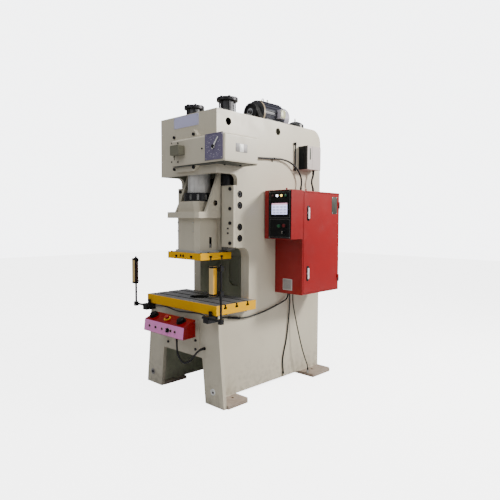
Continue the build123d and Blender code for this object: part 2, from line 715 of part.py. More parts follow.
def foot_plate(front_y, rear_y, anchor_y):
    """Right-hand foot plate, chamfered at its rear outer corner and drilled for its anchor."""
    inner, outer = HALF - FOOT_IN, HALF + FOOT_OUT
    plan = [(inner, front_y), (outer, front_y), (outer, rear_y - FOOT_CHAMFER),
            (outer - FOOT_CHAMFER, rear_y), (inner, rear_y)]
    return prism("Z", 0, FOOT_PLATE, plan) - rod("Z", (ANCHOR_X, anchor_y), ANCHOR_HOLE_R, -1, FOOT_PLATE + 1)


def foot_plates():
    """Four foot plates."""
    front = pair(lambda: foot_plate(-BED_OVERHANG, FRONT_FOOT_END_Y, ANCHOR_FRONT_Y))
    rear = pair(lambda: foot_plate(REAR_FOOT_START_Y, REAR_Y, ANCHOR_FRONT_Y + ANCHOR_SPACING_Y))
    return front + rear


# Table and slide

def bolster():
    """Bolster plate with three T-slots and the die hole."""
    half = BOLSTER_WIDTH / 2
    rear = BOLSTER_FRONT_Y + BOLSTER_DEPTH
    plate = block((-half, half), (BOLSTER_FRONT_Y, rear), (BED_TOP, BOLSTER_TOP))
    plate = chamfer(plate.edges(), BOLSTER_CHAMFER)
    for step in (-1, 0, 1):
        at = SLIDE_AXIS_Y + step * TABLE_SLOT_PITCH
        plate -= tee_slot("X", at, -half, half, BOLSTER_TOP, -1)
    return plate - rod("Z", (0, SLIDE_AXIS_Y), DIE_HOLE_R, BED_TOP - 1, BOLSTER_TOP + 1)


def slide_plan(width, front, rear, cut):
    """Plan of one step of the slide: a rectangle with both front corners chamfered."""
    half = width / 2
    return [(-half + cut, front), (half - cut, front), (half, front + cut), (half, rear), (-half, rear),
            (-half, front + cut)]


def slide_body():
    """Slide casting: body, skirt, ledge, tapered head, rear guide with its flanges, and two wings."""
    half, front = SLIDE_BODY_WIDTH / 2, SLIDE_BODY_FRONT_Y
    neck_y = COLUMN_FRONT_Y - SLIDE_NECK_PROUD
    skirt_top = SLIDE_BOTTOM + SLIDE_SKIRT
    body_plan = slide_plan(SLIDE_BODY_WIDTH, front, SLIDE_REAR_Y, SLIDE_CHAMFER)
    casting = prism("Z", SLIDE_BOTTOM, SLIDE_LEDGE_TOP, body_plan)
    skirt_rear = SLIDE_REAR_Y - 2 * SLIDE_SKIRT
    skirt_plan = slide_plan(SLIDE_SKIRT_WIDTH, front - SLIDE_SKIRT_LIP, skirt_rear, SLIDE_CHAMFER)
    casting += prism("Z", SLIDE_BOTTOM, skirt_top, skirt_plan)
    ledge_y = (front - SLIDE_LEDGE_REACH, neck_y + SLIDE_NECK_PROUD / 2)
    ledge_plan = slide_plan(SLIDE_LEDGE_WIDTH, *ledge_y, SLIDE_LEDGE_CHAMFER)
    casting += prism("Z", SLIDE_LEDGE_Z, SLIDE_LEDGE_TOP, ledge_plan)
    head_plan = slide_plan(SLIDE_HEAD_TOP_WIDTH, front, SLIDE_REAR_Y, SLIDE_CHAMFER)
    casting += loft([Plane((0, 0, SLIDE_LEDGE_TOP)) * outline(body_plan),
                     Plane((0, 0, SLIDE_HEAD_TOP)) * outline(head_plan)])
    guide = COLUMN_INNER - 5.0
    casting += block((-SLIDE_NECK_X, SLIDE_NECK_X), (neck_y, SLIDE_REAR_Y), (skirt_top, SLIDE_GUIDE_TOP))
    casting += block((-guide, guide), (COLUMN_FRONT_Y + RUN_GAP, SLIDE_REAR_Y), (skirt_top, SLIDE_GUIDE_TOP))
    casting -= rod("Z", (0, SLIDE_AXIS_Y), RING_NUT_R + 1.0, SLIDE_HEAD_TOP, SLIDE_HEAD_TOP + WING_RISE + 1)
    for side in pair(slide_wing):
        casting += side
    slot = KNOCKOUT_SLOT / 2
    slot_plan = rect((SLIDE_AXIS_Y - slot, KNOCKOUT_SLOT_LOW),
                     (SLIDE_AXIS_Y + slot, KNOCKOUT_SLOT_LOW + KNOCKOUT_SLOT_HEIGHT))
    casting -= prism("X", -half - 1, half + 1, slot_plan)
    return casting - rod("Z", (0, SLIDE_AXIS_Y), SHANK_R, SLIDE_BOTTOM - 1, KNOCKOUT_SLOT_LOW)


def slide_wing():
    """Right wing of the slide casting, with its lifting hole."""
    outer = SLIDE_LEDGE_WIDTH / 2
    low, top = SLIDE_LEDGE_TOP - 1.0, SLIDE_HEAD_TOP + WING_RISE
    notch_z = BALANCE_FOOT_Z - WING_NOTCH_DROP
    points = [(WING_TOE_Y, low), (WING_BEND[0], SLIDE_LEDGE_TOP + WING_BEND[1]),
              (WING_SHOULDER[0], top - WING_SHOULDER[1]), (WING_TOP_Y, top), (WING_TOP_REAR_Y, top),
              (WING_TOP_REAR_Y, notch_z), (WING_REAR_Y, notch_z), (WING_REAR_Y, low)]
    radii = [0, WING_BEND_R, WING_TOE_R, WING_TOP_R, WING_TOP_R, 0, 0, 0]
    wing = prism("X", outer - WING, outer, points, radii)
    hole_at = (SLIDE_AXIS_Y, SLIDE_LEDGE_TOP + WING_HOLE_RISE)
    return wing - rod("X", hole_at, WING_HOLE_R, outer - WING - 1, outer + 1)


def ram_plate():
    """Plate under the slide with crossing T-slots, the shank hole and two screws in its front."""
    half = RAM_PLATE_WIDTH / 2
    low, rear = SLIDE_BOTTOM - RAM_PLATE, RAM_FRONT_Y + RAM_PLATE_DEPTH
    plate = block((-half, half), (RAM_FRONT_Y, rear), (low, SLIDE_BOTTOM))
    plate = chamfer(plate.edges(), RAM_PLATE_CHAMFER)
    for side in (-1, 1):
        plate -= tee_slot("X", SLIDE_AXIS_Y + side * RAM_SLOT_Y_PITCH / 2, -half, half, low, 1)
        plate -= tee_slot("Y", side * RAM_SLOT_X_PITCH / 2, RAM_FRONT_Y, rear, low, 1)
    plate -= rod("Z", (0, SLIDE_AXIS_Y), SHANK_R, low - 1, SLIDE_BOTTOM + 1)
    seat = RAM_FRONT_Y + RAM_SCREW_POCKET
    screws = []
    for x in RAM_SCREW_XS:
        at = (x, SLIDE_BOTTOM - RAM_PLATE / 2)
        plate -= rod("Y", at, RAM_SCREW_R + 3, RAM_FRONT_Y - 1, seat)
        screws.append(screw("Y", at, RAM_SCREW_R, seat, -1, RAM_SCREW_R))
    return [plate] + screws


def knockout_bar():
    """Flat bar that lies in the slide's cross slot and lifts to eject the work."""
    half = SLIDE_BODY_WIDTH / 2 - 4.0
    thick = KNOCKOUT_SLOT / 2 - RUN_GAP
    low = KNOCKOUT_SLOT_LOW + RUN_GAP
    bar = block((-half, half), (SLIDE_AXIS_Y - thick, SLIDE_AXIS_Y + thick), (low, low + KNOCKOUT_BAR_HEIGHT))
    return chamfer(bar.edges().filter_by(Axis.Y), 3.0)


def plunger_tube():
    """Round guide tube that stands on the slide and encloses the connecting rod."""
    at = (0, SLIDE_AXIS_Y)
    band_z = SLIDE_HEAD_TOP + RING_NUT_HEIGHT
    body = rod("Z", at, PLUNGER_R, SLIDE_HEAD_TOP, PLUNGER_TOP)
    body += rod("Z", at, PLUNGER_R + PLUNGER_BAND, band_z, band_z + PLUNGER_BAND_HEIGHT)
    return body - rod("Z", at, PLUNGER_R - PLUNGER_WALL, SLIDE_HEAD_TOP - 1, PLUNGER_TOP + 1)


def ring_nut():
    """Notched lock nut round the foot of the tube."""
    at = (0, SLIDE_AXIS_Y)
    middle = SLIDE_HEAD_TOP + RING_NUT_HEIGHT / 2
    nut = ring("Z", at, RING_NUT_R, PLUNGER_R + RUN_GAP, SLIDE_HEAD_TOP, SLIDE_HEAD_TOP + RING_NUT_HEIGHT)
    notch = Pos(RING_NUT_R, 0, 0) * Box(2 * RING_NUT_NOTCH_DEPTH, RING_NUT_NOTCH, RING_NUT_HEIGHT - 24)
    for i in range(RING_NUT_NOTCHES):
        nut -= Pos(*at, middle) * Rot(0, 0, (i + 0.5) * 360 / RING_NUT_NOTCHES) * notch
    return nut


def gibs():
    """Front gib plates, split low down, and the rear gib rail of each column."""
    solids = []
    for low, high in ((GIB_FOOT_Z, GIB_SPLIT_Z), (GIB_SPLIT_Z, COLUMN_TOP)):
        plate = block((GIB_INNER_X, HALF), (COLUMN_FRONT_Y - GIB_PLATE, COLUMN_FRONT_Y), (low, high))
        solids += pair(lambda: chamfer(plate.edges(), GIB_CHAMFER))
    rail_y = SLIDE_REAR_Y + RUN_GAP
    rail = block((GIB_INNER_X, COLUMN_INNER), (rail_y, rail_y + GIB_RAIL), (GIB_FOOT_Z, LINER_TOP - 10))
    return solids + pair(lambda: rail)


def frame_screws():
    """Screw heads of the columns, gibs, bearing cover and bracket."""
    pocket, gib_y = HALF - SIDE_BOLT_POCKET_DEPTH, COLUMN_FRONT_Y - GIB_PLATE
    heads = []
    for side in (-1, 1):
        for z in SIDE_BOLT_ZS:
            heads.append(screw("X", (SIDE_BOLT_Y, z), SIDE_BOLT_HEAD_R, side * pocket, side, SIDE_BOLT_HEAD))
        for z in GIB_SCREW_ZS:
            heads.append(screw("Y", (side * GIB_SCREW_X, z), GIB_SCREW_R, gib_y, -1, GIB_SCREW_HEAD))
        for z in GIB_SET_SCREW_ZS:
            at = (side * GIB_SET_SCREW_X, z)
            heads.append(screw("Y", at, GIB_SET_SCREW_R, gib_y, -1, GIB_SET_SCREW_HEAD))
        for z in (COVER_LOW_Z + COVER_BOLT_RISE, COVER_HIGH_Z - COVER_BOLT_DROP):
            at = (side * COVER_BOLT_X, z)
            heads.append(screw("Y", at, COVER_BOLT_R, -COVER_PLATE, -1, COVER_BOLT_HEAD))
        for rise in BRACKET_SCREW_RISES:
            at = (side * (BRACKET_HALF - BRACKET_SCREW_INSET), BRACKET_LOW_Z + rise)
            heads.append(screw("Y", at, BRACKET_SCREW_R, BED_FRONT_Y - BRACKET_PLATE, -1, BRACKET_SCREW_HEAD))
    return heads


# Crank train

def crankshaft():
    """Crankshaft with two webs, its pin at the top, and the clutch drum behind the bearings."""
    eye_front = SLIDE_AXIS_Y - ROD_EYE_WIDTH / 2 - 2.0
    eye_rear = SLIDE_AXIS_Y + ROD_EYE_WIDTH / 2 + 2.0
    shaft = rod("Y", (0, CRANK_Z), JOURNAL_R, 2.0, eye_front)
    shaft += rod("Y", (0, CRANK_Z), SHAFT_NOSE_R, SHAFT_NOSE_Y, COVER_PLATE)
    shaft += rod("Y", (0, CRANK_Z), JOURNAL_R, eye_rear, SHAFT_TAIL_Y)
    shaft += rod("Y", (0, PIN_Z), PIN_R, eye_front - CRANK_WEB, eye_rear + CRANK_WEB)
    for y in (eye_front - CRANK_WEB, eye_rear):
        web = rod("Y", (0, CRANK_Z), CRANK_WEB_R, y, y + CRANK_WEB)
        web += rod("Y", (0, PIN_Z), CRANK_WEB_R, y, y + CRANK_WEB)
        web += block((-CRANK_WEB_R, CRANK_WEB_R), (y, y + CRANK_WEB), (CRANK_Z, PIN_Z))
        shaft += web
    return shaft + rod("Y", (0, CRANK_Z), CLUTCH_R, CLUTCH_Y, CLUTCH_Y + CLUTCH)


def crank_bushes():
    """Bronze bushes in the crown front and the two bearing walls."""
    spans = ((0, CROWN_WALL), (WALL_ONE_Y, WALL_ONE_Y + WALL_ONE), (WALL_TWO_Y, WALL_TWO_Y + WALL_TWO))
    outer, inner = JOURNAL_R + BUSH_WALL, JOURNAL_R + BUSH_GAP
    return [ring("Y", (0, CRANK_Z), outer, inner, low, high) for low, high in spans]


def pitman():
    """Connecting rod: split eye on the crank pin, round shank and ball end."""
    low, high = SLIDE_AXIS_Y - ROD_EYE_WIDTH / 2, SLIDE_AXIS_Y + ROD_EYE_WIDTH / 2
    body = rod("Y", (0, PIN_Z), ROD_EYE_R, low, high)
    body += rod("Z", (0, SLIDE_AXIS_Y), ROD_R, ROD_BALL_Z, PIN_Z - PIN_R)
    body += Pos(0, SLIDE_AXIS_Y, ROD_BALL_Z) * Sphere(ROD_BALL_R)
    return body - rod("Y", (0, PIN_Z), PIN_R + RUN_GAP / 4, low - 1, high + 1)


def belt_grooves(at, radius):
    """Cutters for the belt grooves of a wheel at (x, z)."""
    half = BELT_WIDTH / 2 + RUN_GAP
    return [ring("Y", at, radius + 1, radius - BELT_GROOVE_DEPTH, y - half, y + half) for y in BELT_YS]


def flywheel():
    """Flywheel with rim, web, lightening holes and hub, running free on the shaft."""
    at, rear = (0, CRANK_Z), FLYWHEEL_Y + FLYWHEEL
    wheel = rod("Y", at, FLYWHEEL_R, FLYWHEEL_Y, rear)
    recess = (FLYWHEEL - FLYWHEEL_WEB) / 2
    for y in (FLYWHEEL_Y - 1, rear - recess):
        wheel -= ring("Y", at, FLYWHEEL_R - FLYWHEEL_RIM, FLYWHEEL_HUB_R, y, y + recess + 1)
    reach = (FLYWHEEL_R - FLYWHEEL_RIM + FLYWHEEL_HUB_R) / 2
    for i in range(FLYWHEEL_HOLES):
        turn = 2 * pi * (i + 0.5) / FLYWHEEL_HOLES
        hole_at = (reach * cos(turn), CRANK_Z + reach * sin(turn))
        wheel -= rod("Y", hole_at, FLYWHEEL_HOLE_R, FLYWHEEL_Y, rear)
    wheel -= rod("Y", at, JOURNAL_R + BUSH_GAP, FLYWHEEL_Y - 1, rear + 1)
    return wheel - belt_grooves(at, FLYWHEEL_R)


def motor_pulley():
    """Grooved pulley with its hub on the motor shaft."""
    at = (0, MOTOR_Z)
    front = FLYWHEEL_MID_Y - PULLEY_WIDTH / 2
    wheel = rod("Y", at, PULLEY_R, front, front + PULLEY_WIDTH)
    wheel -= ring("Y", at, PULLEY_R - PULLEY_RIM, PULLEY_HUB_R, front - 1, front + PULLEY_RECESS)
    wheel -= belt_grooves(at, PULLEY_R)
    return wheel + rod("Y", at, MOTOR_SHAFT_R, front - PULLEY_RECESS, MOTOR_BODY_Y + 20)


def belt_loop(radius_low, radius_high):
    """Face inside the loop that wraps the flywheel and the motor pulley."""
    reach = MOTOR_Z - CRANK_Z
    lean = (radius_low - radius_high) / reach
    high_z = MOTOR_Z + radius_high * lean
    low_z = CRANK_Z + radius_low * lean
    side = (1 - lean * lean) ** 0.5
    points = [(-radius_low * side, low_z), (radius_low * side, low_z), (radius_high * side, high_z),
              (-radius_high * side, high_z)]
    spans = make_face(Polyline(*points, close=True))
    return spans + Pos(0, CRANK_Z) * Circle(radius_low) + Pos(0, MOTOR_Z) * Circle(radius_high)


def v_belts():
    """Belts from the motor pulley to the flywheel."""
    low = FLYWHEEL_R - BELT_GROOVE_DEPTH + RUN_GAP
    high = PULLEY_R - BELT_GROOVE_DEPTH + RUN_GAP
    face = belt_loop(low + BELT_THICK, high + BELT_THICK) - belt_loop(low, high)
    belts = []
    for y in BELT_YS:
        plane = Plane((0, y - BELT_WIDTH / 2, 0), (1, 0, 0), (0, -1, 0))
        belts.append(extrude(plane * face, -BELT_WIDTH))
    return belts


def motor():
    """Finned motor with end shield, fan cowl, feet, terminal box and lifting eye."""
    at, middle = (0, MOTOR_Z), (MOTOR_BODY_Y + MOTOR_BODY_END_Y) / 2
    body = rod("Y", at, MOTOR_R, MOTOR_BODY_Y, MOTOR_BODY_END_Y)
    fin_length = MOTOR_BODY_END_Y - MOTOR_BODY_Y - 2 * MOTOR_FIN_INSET
    fin = Pos(0, 0, MOTOR_R) * Box(MOTOR_FIN_THICK, fin_length, 2 * MOTOR_FIN)
    for i in range(MOTOR_FINS):
        body += Pos(0, middle, MOTOR_Z) * Rot(0, (i + 0.5) * 360 / MOTOR_FINS, 0) * fin
    body += rod("Y", at, MOTOR_SHIELD_R, MOTOR_FRONT_Y, MOTOR_BODY_Y)
    cowl = rod("Y", at, MOTOR_COWL_R, MOTOR_BODY_END_Y, MOTOR_TAIL_Y)
    body += fillet(cowl.faces().sort_by(Axis.Y)[-1].edges(), MOTOR_BODY_Y - MOTOR_FRONT_Y - 4)
    foot_y = (MOTOR_BODY_Y + MOTOR_FOOT_INSET, MOTOR_BODY_END_Y - MOTOR_FOOT_INSET)
    foot_z = CROWN_TOP + MOTOR_PAD
    for x in (-MOTOR_FOOT_X, MOTOR_FOOT_X):
        for width, top in ((MOTOR_FOOT_WEB, MOTOR_Z - MOTOR_R / 3), (MOTOR_FOOT, foot_z + MOTOR_FOOT_PLATE)):
            body += block((x - width / 2, x + width / 2), foot_y, (foot_z, top))
    body += block((MOTOR_R - 20, MOTOR_BOX_OUT_X), (MOTOR_BOX_FRONT_Y, MOTOR_BOX_FRONT_Y + MOTOR_BOX_DEPTH),
                  (MOTOR_Z - MOTOR_BOX_HEIGHT / 2, MOTOR_Z + MOTOR_BOX_HEIGHT / 2))
    eye_z = MOTOR_Z + MOTOR_R + MOTOR_FIN + MOTOR_EYE_R
    body += Pos(0, MOTOR_EYE_Y, eye_z) * Rot(90, 0, 0) * Torus(MOTOR_EYE_R, MOTOR_EYE_WIRE_R)
    body += rod("Z", (0, MOTOR_EYE_Y), MOTOR_EYE_WIRE_R + 2, MOTOR_Z + MOTOR_R - 5, eye_z - MOTOR_EYE_R)
    return body - rod("Y", at, MOTOR_SHAFT_R + RUN_GAP, MOTOR_FRONT_Y - 1, MOTOR_BODY_Y + MOTOR_BORE)


# Balance cylinders and air tank

def balance_cylinder():
    """Right balance cylinder: tube, gland, collar on the crown, cap, tie rods and air pipe."""
    at = (BALANCE_X, BALANCE_Y)
    body = rod("Z", at, BALANCE_R, BALANCE_FOOT_Z, BALANCE_TOP_Z)
    body += rod("Z", at, BALANCE_COLLAR_R, CROWN_TOP, CROWN_TOP + BALANCE_COLLAR)
    body += rod("Z", at, BALANCE_CAP_R, BALANCE_TOP_Z, BALANCE_TOP_Z + BALANCE_CAP)
    for i in range(6):
        turn = radians(60 * i + 30)
        place = (at[0] + BALANCE_TIE_REACH * cos(turn), at[1] + BALANCE_TIE_REACH * sin(turn))
        body += rod("Z", place, BALANCE_TIE_R, CROWN_TOP, BALANCE_TOP_Z)
        body += rod("Z", place, BALANCE_NUT_R, BALANCE_TOP_Z, BALANCE_TOP_Z + BALANCE_CAP + BALANCE_NUT)
    pipe_x = BALANCE_X - BALANCE_PORT_REACH
    body += rod("X", (BALANCE_Y, BALANCE_PORT_Z), BALANCE_PORT_R, pipe_x, BALANCE_X)
    body += Pos(pipe_x, BALANCE_Y, BALANCE_PORT_Z) * Sphere(BALANCE_PORT_R)
    body += rod("Z", (pipe_x, BALANCE_Y), BALANCE_PORT_R, CROWN_TOP, BALANCE_PORT_Z)
    body -= rod("Z", at, BALANCE_BORE_R, BALANCE_FOOT_Z + BALANCE_GLAND, BALANCE_TOP_Z)
    return body - rod("Z", at, BALANCE_ROD_R + RUN_GAP, BALANCE_FOOT_Z - 1, BALANCE_TOP_Z - 1)


def balance_rod():
    """Right balance rod with its piston, standing on the slide's guide."""
    at = (BALANCE_X, BALANCE_Y)
    body = rod("Z", at, BALANCE_ROD_R, SLIDE_GUIDE_TOP, BALANCE_PISTON_Z)
    body += rod("Z", at, BALANCE_BORE_R - RUN_GAP, BALANCE_PISTON_Z, BALANCE_PISTON_Z + BALANCE_PISTON)
    return body + rod("Z", at, BALANCE_ROD_R + 9, SLIDE_GUIDE_TOP, SLIDE_GUIDE_TOP + 14)


def air_tank():
    """Upright air tank hung in the crown's top plate, with its relief valve."""
    at = (TANK_X, TANK_Y)
    body = rod("Z", at, TANK_R, TANK_FOOT_Z, TANK_SHOULDER_Z)
    body = fillet(body.faces().sort_by(Axis.Z)[0].edges(), TANK_DOME)
    body += rod("Z", at, TANK_FLANGE_R, CROWN_TOP, CROWN_TOP + TANK_FLANGE)
    dome_r = (TANK_R ** 2 + TANK_DOME ** 2) / (2 * TANK_DOME)
    dome = Pos(*at, TANK_SHOULDER_Z + TANK_DOME - dome_r) * Sphere(dome_r)
    body += dome & rod("Z", at, TANK_R, TANK_SHOULDER_Z, TANK_SHOULDER_Z + TANK_DOME + 1)
    return body + rod("Z", at, 8, TANK_SHOULDER_Z + TANK_DOME - 6, TANK_SHOULDER_Z + TANK_DOME + 28)


# Crown front

def bearing_cover():
    """Cover over the front crank bearing, with large chamfers at its corners."""
    half, cut = COVER_HALF, COVER_CHAMFER
    low, high = COVER_LOW_Z, COVER_HIGH_Z
    points = [(-half + cut, low), (half - cut, low), (half, low + cut), (half, high - cut),
              (half - cut, high), (-half + cut, high), (-half, high - cut), (-half, low + cut)]
    return prism("Y", -COVER_PLATE, 0, points) - rod("Y", (0, CRANK_Z), JOURNAL_R + 2, -COVER_PLATE - 1, 1)


def cam_cover_plan(inset):
    """Plan of the cam cover, moved in from its outside by inset."""
    left, right = CAM_LEFT_X + inset, CAM_RIGHT_X - inset
    front, rear = CAM_FRONT_Y + inset, CAM_REAR_Y - inset
    return [(left, front), (right, front), (right, rear), (HALF, rear), (HALF, 0), (COVER_HALF, 0),
            (COVER_HALF, -COVER_PLATE), (left, -COVER_PLATE)]


def cam_cover():
    """Sheet cover over the dial's chain drive, from the crank's nose round the crown's corner."""
    shell = prism("Z", CAM_LOW_Z, CAM_HIGH_Z, cam_cover_plan(0))
    edges = [e for e in shell.edges().filter_by(Axis.X) if abs(e.center().Y - CAM_FRONT_Y) < 1]
    edges += [e for e in shell.edges().filter_by(Axis.Y) if abs(e.center().X - CAM_RIGHT_X) < 1]
    edges += [e for e in shell.edges().filter_by(Axis.Z)
              if abs(e.center().Y - CAM_FRONT_Y) < 1 and e.center().X > 0]
    shell = fillet(edges, CAM_EDGE_R)
    left, right = CAM_LEFT_X + SHEET, CAM_RIGHT_X - SHEET
    front, rear = CAM_FRONT_Y + SHEET, CAM_REAR_Y - SHEET
    low, high = CAM_LOW_Z + CAM_EDGE_R, CAM_HIGH_Z - CAM_EDGE_R
    shell -= block((left, right - CAM_EDGE_R), (front, -COVER_PLATE + 1), (low, high))
    shell -= block((COVER_HALF + 1, right - CAM_EDGE_R), (-COVER_PLATE, 1), (low, high))
    shell -= block((HALF - 1, right), (-COVER_PLATE, rear), (low, high))
    return shell - rod("Y", (DIAL_X, DIAL_Z), 9 + RUN_GAP, CAM_FRONT_Y - 1, front + 1)


def dial_plate():
    """Square dial plate with a hole for the pointer's spindle."""
    half = DIAL_SIZE / 2
    plate = prism("Y", CAM_FRONT_Y - DIAL_PLATE, CAM_FRONT_Y,
                  rect((DIAL_X - half, DIAL_Z - half), (DIAL_X + half, DIAL_Z + half)), [5] * 4)
    return plate - rod("Y", (DIAL_X, DIAL_Z), 9 + RUN_GAP, CAM_FRONT_Y - DIAL_PLATE - 1, CAM_FRONT_Y + 1)


def dial_pointer():
    """Tapered pointer with hub, spindle and chain wheel."""
    face = CAM_FRONT_Y - DIAL_PLATE
    blade = prism("Y", face - 8, face - 5, [(-9, -22), (9, -22), (4, POINTER_LENGTH), (-4, POINTER_LENGTH)],
                  [6, 6, 3, 3])
    blade = Pos(DIAL_X, 0, DIAL_Z) * Rot(0, POINTER_ANGLE, 0) * blade
    hub = rod("Y", (DIAL_X, DIAL_Z), 13, face - 14, face - 1)
    spindle = rod("Y", (DIAL_X, DIAL_Z), 9, face - 2, CAM_FRONT_Y + SPINDLE)
    return blade + hub + spindle + rod("Y", (DIAL_X, DIAL_Z), 32, CAM_FRONT_Y + 24, CAM_FRONT_Y + 32)


def cam_switch_box():
    """Rotary switch housing over the crank's nose, with its gland."""
    half, up = SWITCH_BOX_WIDTH / 2, SWITCH_BOX_HEIGHT / 2
    box = block((-half, half), (CAM_FRONT_Y - SWITCH_BOX_DEPTH, CAM_FRONT_Y), (CRANK_Z - up, CRANK_Z + up))
    box = fillet(box.edges().filter_by(Axis.Y), 8)
    middle = CAM_FRONT_Y - SWITCH_BOX_DEPTH / 2
    box += rod("Z", (-half + 18, middle), 8, CRANK_Z - up - 14, CRANK_Z - up)
    return box + rod("Z", (-half + 18, middle), 4, CRANK_Z - up - 34, CRANK_Z - up - 14)


def banner_plate():
    """Blank plate along the top of the crown's front."""
    plan = rect((BANNER_LEFT_X, BANNER_LOW_Z), (BANNER_RIGHT_X, BANNER_HIGH_Z))
    return prism("Y", -BANNER_PLATE, 0, plan, [2 * BANNER_PLATE] * 4)


# Cabinet and operator panel

def cabinet_shell():
    """Open sheet cabinet with a border round its door opening."""
    x, y, z = (HALF, CABINET_X), (CABINET_FRONT_Y, CABINET_REAR_Y), (CABINET_LOW_Z, CABINET_HIGH_Z)
    shell = block(x, y, z)
    shell = fillet(shell.edges().filter_by(Axis.Z) + shell.edges().filter_by(Axis.Y), CABINET_FOLD_R)
    border_x = CABINET_X - DOOR - 4
    shell -= block((x[0] + SHEET, border_x), (y[0] + SHEET, y[1] - SHEET), (z[0] + SHEET, z[1] - SHEET))
    rim = CABINET_BORDER - DOOR_GAP
    return shell - block((border_x - 1, CABINET_X + 1), (y[0] + rim, y[1] - rim), (z[0] + rim, z[1] - rim))


def hinge_pins():
    """Two hinge pins with the fixed leaves that carry them."""
    pins = []
    for z in (CABINET_LOW_Z + HINGE_INSET, CABINET_HIGH_Z - HINGE_INSET):
        low, high = z - HINGE_HEIGHT / 2, z + HINGE_HEIGHT / 2
        pin = rod("Z", HINGE_AXIS, HINGE_PIN_R, low, high)
        knuckle = rod("Z", HINGE_AXIS, HINGE_R, low, z - RUN_GAP)
        leaf = block((CABINET_X, HINGE_AXIS[0]), (HINGE_AXIS[1], CABINET_REAR_Y - 1), (low, z - RUN_GAP))
        pins.append(pin + knuckle + leaf)
    return pins


def cabinet_door():
    """Door set into the cabinet's border, folded from sheet, with its hinge knuckles."""
    rim = CABINET_BORDER
    x = (CABINET_X + DOOR_PROUD - DOOR, CABINET_X + DOOR_PROUD)
    y = (CABINET_FRONT_Y + rim, CABINET_REAR_Y - rim)
    z = (CABINET_LOW_Z + rim, CABINET_HIGH_Z - rim)
    door = block(x, y, z)
    door = chamfer(door.faces().sort_by(Axis.X)[-1].edges(), DOOR_PROUD / 2)
    door -= block((x[0] - 1, x[1] - SHEET), (y[0] + SHEET, y[1] - SHEET), (z[0] + SHEET, z[1] - SHEET))
    for height in (CABINET_LOW_Z + HINGE_INSET, CABINET_HIGH_Z - HINGE_INSET):
        top = height + HINGE_HEIGHT / 2
        low = height + RUN_GAP
        knuckle = rod("Z", HINGE_AXIS, HINGE_R, low, top)
        knuckle += block((x[1] - DOOR_PROUD, HINGE_AXIS[0]), (y[1] - DOOR, HINGE_AXIS[1]), (low, top))
        door += knuckle - rod("Z", HINGE_AXIS, HINGE_PIN_R + BUSH_GAP, height, top + 1)
    for height in LEVER_ZS:
        door -= rod("X", (LEVER_Y, height), LEVER_SPINDLE_R + BUSH_GAP, x[0] - 1, x[1] + 1)
    return door


def door_lever(height):
    """Turning lever on its spindle through the door."""
    face, at = CABINET_X + DOOR_PROUD, (LEVER_Y, height)
    half = LEVER_WIDTH / 2
    plan = rect((LEVER_Y - half, height - LEVER_LENGTH / 2), (LEVER_Y + half, height + LEVER_LENGTH / 2))
    lever = prism("X", face + LEVER_COLLAR, face + LEVER_COLLAR + LEVER, plan, [half - 0.5] * 4)
    lever += rod("X", at, LEVER_COLLAR_R, face + RUN_GAP, face + LEVER_COLLAR)
    lever += rod("X", at, LEVER_SPINDLE_R, face - DOOR, face + LEVER_COLLAR)
    return lever + rod("X", at, LEVER_COLLAR_R, face - DOOR, face - DOOR + LEVER_CAM)


def component_row(face, low, height, depth, width):
    """Like components side by side on the mounting plate, as many as its width holds."""
    start, end = CABINET_FRONT_Y + 2 * PANEL_MARGIN, CABINET_REAR_Y - 2 * PANEL_MARGIN
    pitch = width + COMPONENT_GAP
    count = int((end - start + COMPONENT_GAP) // pitch)
    return [block((face, face + depth), (start + i * pitch, start + i * pitch + width), (low, low + height))
            for i in range(count)]


def cabinet_panel():
    """Mounting plate in the cabinet with its drive, breakers, relays and terminals."""
    back, x = HALF + SHEET, HALF + SHEET + PANEL_STANDOFF
    face = x + SHEET
    y = (CABINET_FRONT_Y + PANEL_MARGIN, CABINET_REAR_Y - PANEL_MARGIN)
    z = (CABINET_LOW_Z + PANEL_MARGIN, CABINET_HIGH_Z - PANEL_MARGIN)
    panel = block((x, face), y, z)
    for post_y in (y[0] + PANEL_POST_INSET, y[1] - PANEL_POST_INSET):
        for post_z in (z[0] + PANEL_POST_INSET, z[1] - PANEL_POST_INSET):
            panel += rod("X", (post_y, post_z), PANEL_POST_R, back, x)
    breaker_z = z[1] - PANEL_MARGIN - BREAKER_HEIGHT
    panel += component_row(face, breaker_z, BREAKER_HEIGHT, BREAKER_DEPTH, BREAKER_WIDTH)
    relay_z = breaker_z - 2 * PANEL_MARGIN - RELAY_HEIGHT
    panel += component_row(face, relay_z, RELAY_HEIGHT, RELAY_DEPTH, RELAY_WIDTH)
    strip_y = (y[0] + PANEL_MARGIN, y[1] - PANEL_MARGIN)
    strip_z = (z[0] + PANEL_MARGIN, z[0] + PANEL_MARGIN + TERMINAL_STRIP_HEIGHT)
    panel += block((face, face + TERMINAL_STRIP_DEPTH), strip_y, strip_z)
    drive_z = strip_z[1] + PANEL_MARGIN
    drive_width = min(INVERTER_WIDTH, strip_y[1] - strip_y[0])
    return panel + block((face, face + INVERTER_DEPTH), (strip_y[0], strip_y[0] + drive_width),
                         (drive_z, drive_z + INVERTER_HEIGHT))


def panel_box():
    """Sheet box of the operator panel on the cabinet's front."""
    x, y, z = (PANEL_LEFT_X, CABINET_X), (PANEL_FRONT_Y, CABINET_FRONT_Y), (PANEL_LOW_Z, PANEL_HIGH_Z)
    box = block(x, y, z)
    box -= block((x[0] + SHEET, x[1] - SHEET), (y[0] + SHEET, y[1] + 1), (z[0] + SHEET, z[1] - SHEET))
    for at in (START_AT, STOP_AT, SELECTOR_AT):
        box -= rod("Y", at, BUTTON_STEM_R + RUN_GAP, y[0] - 1, y[0] + SHEET + 1)
    return box


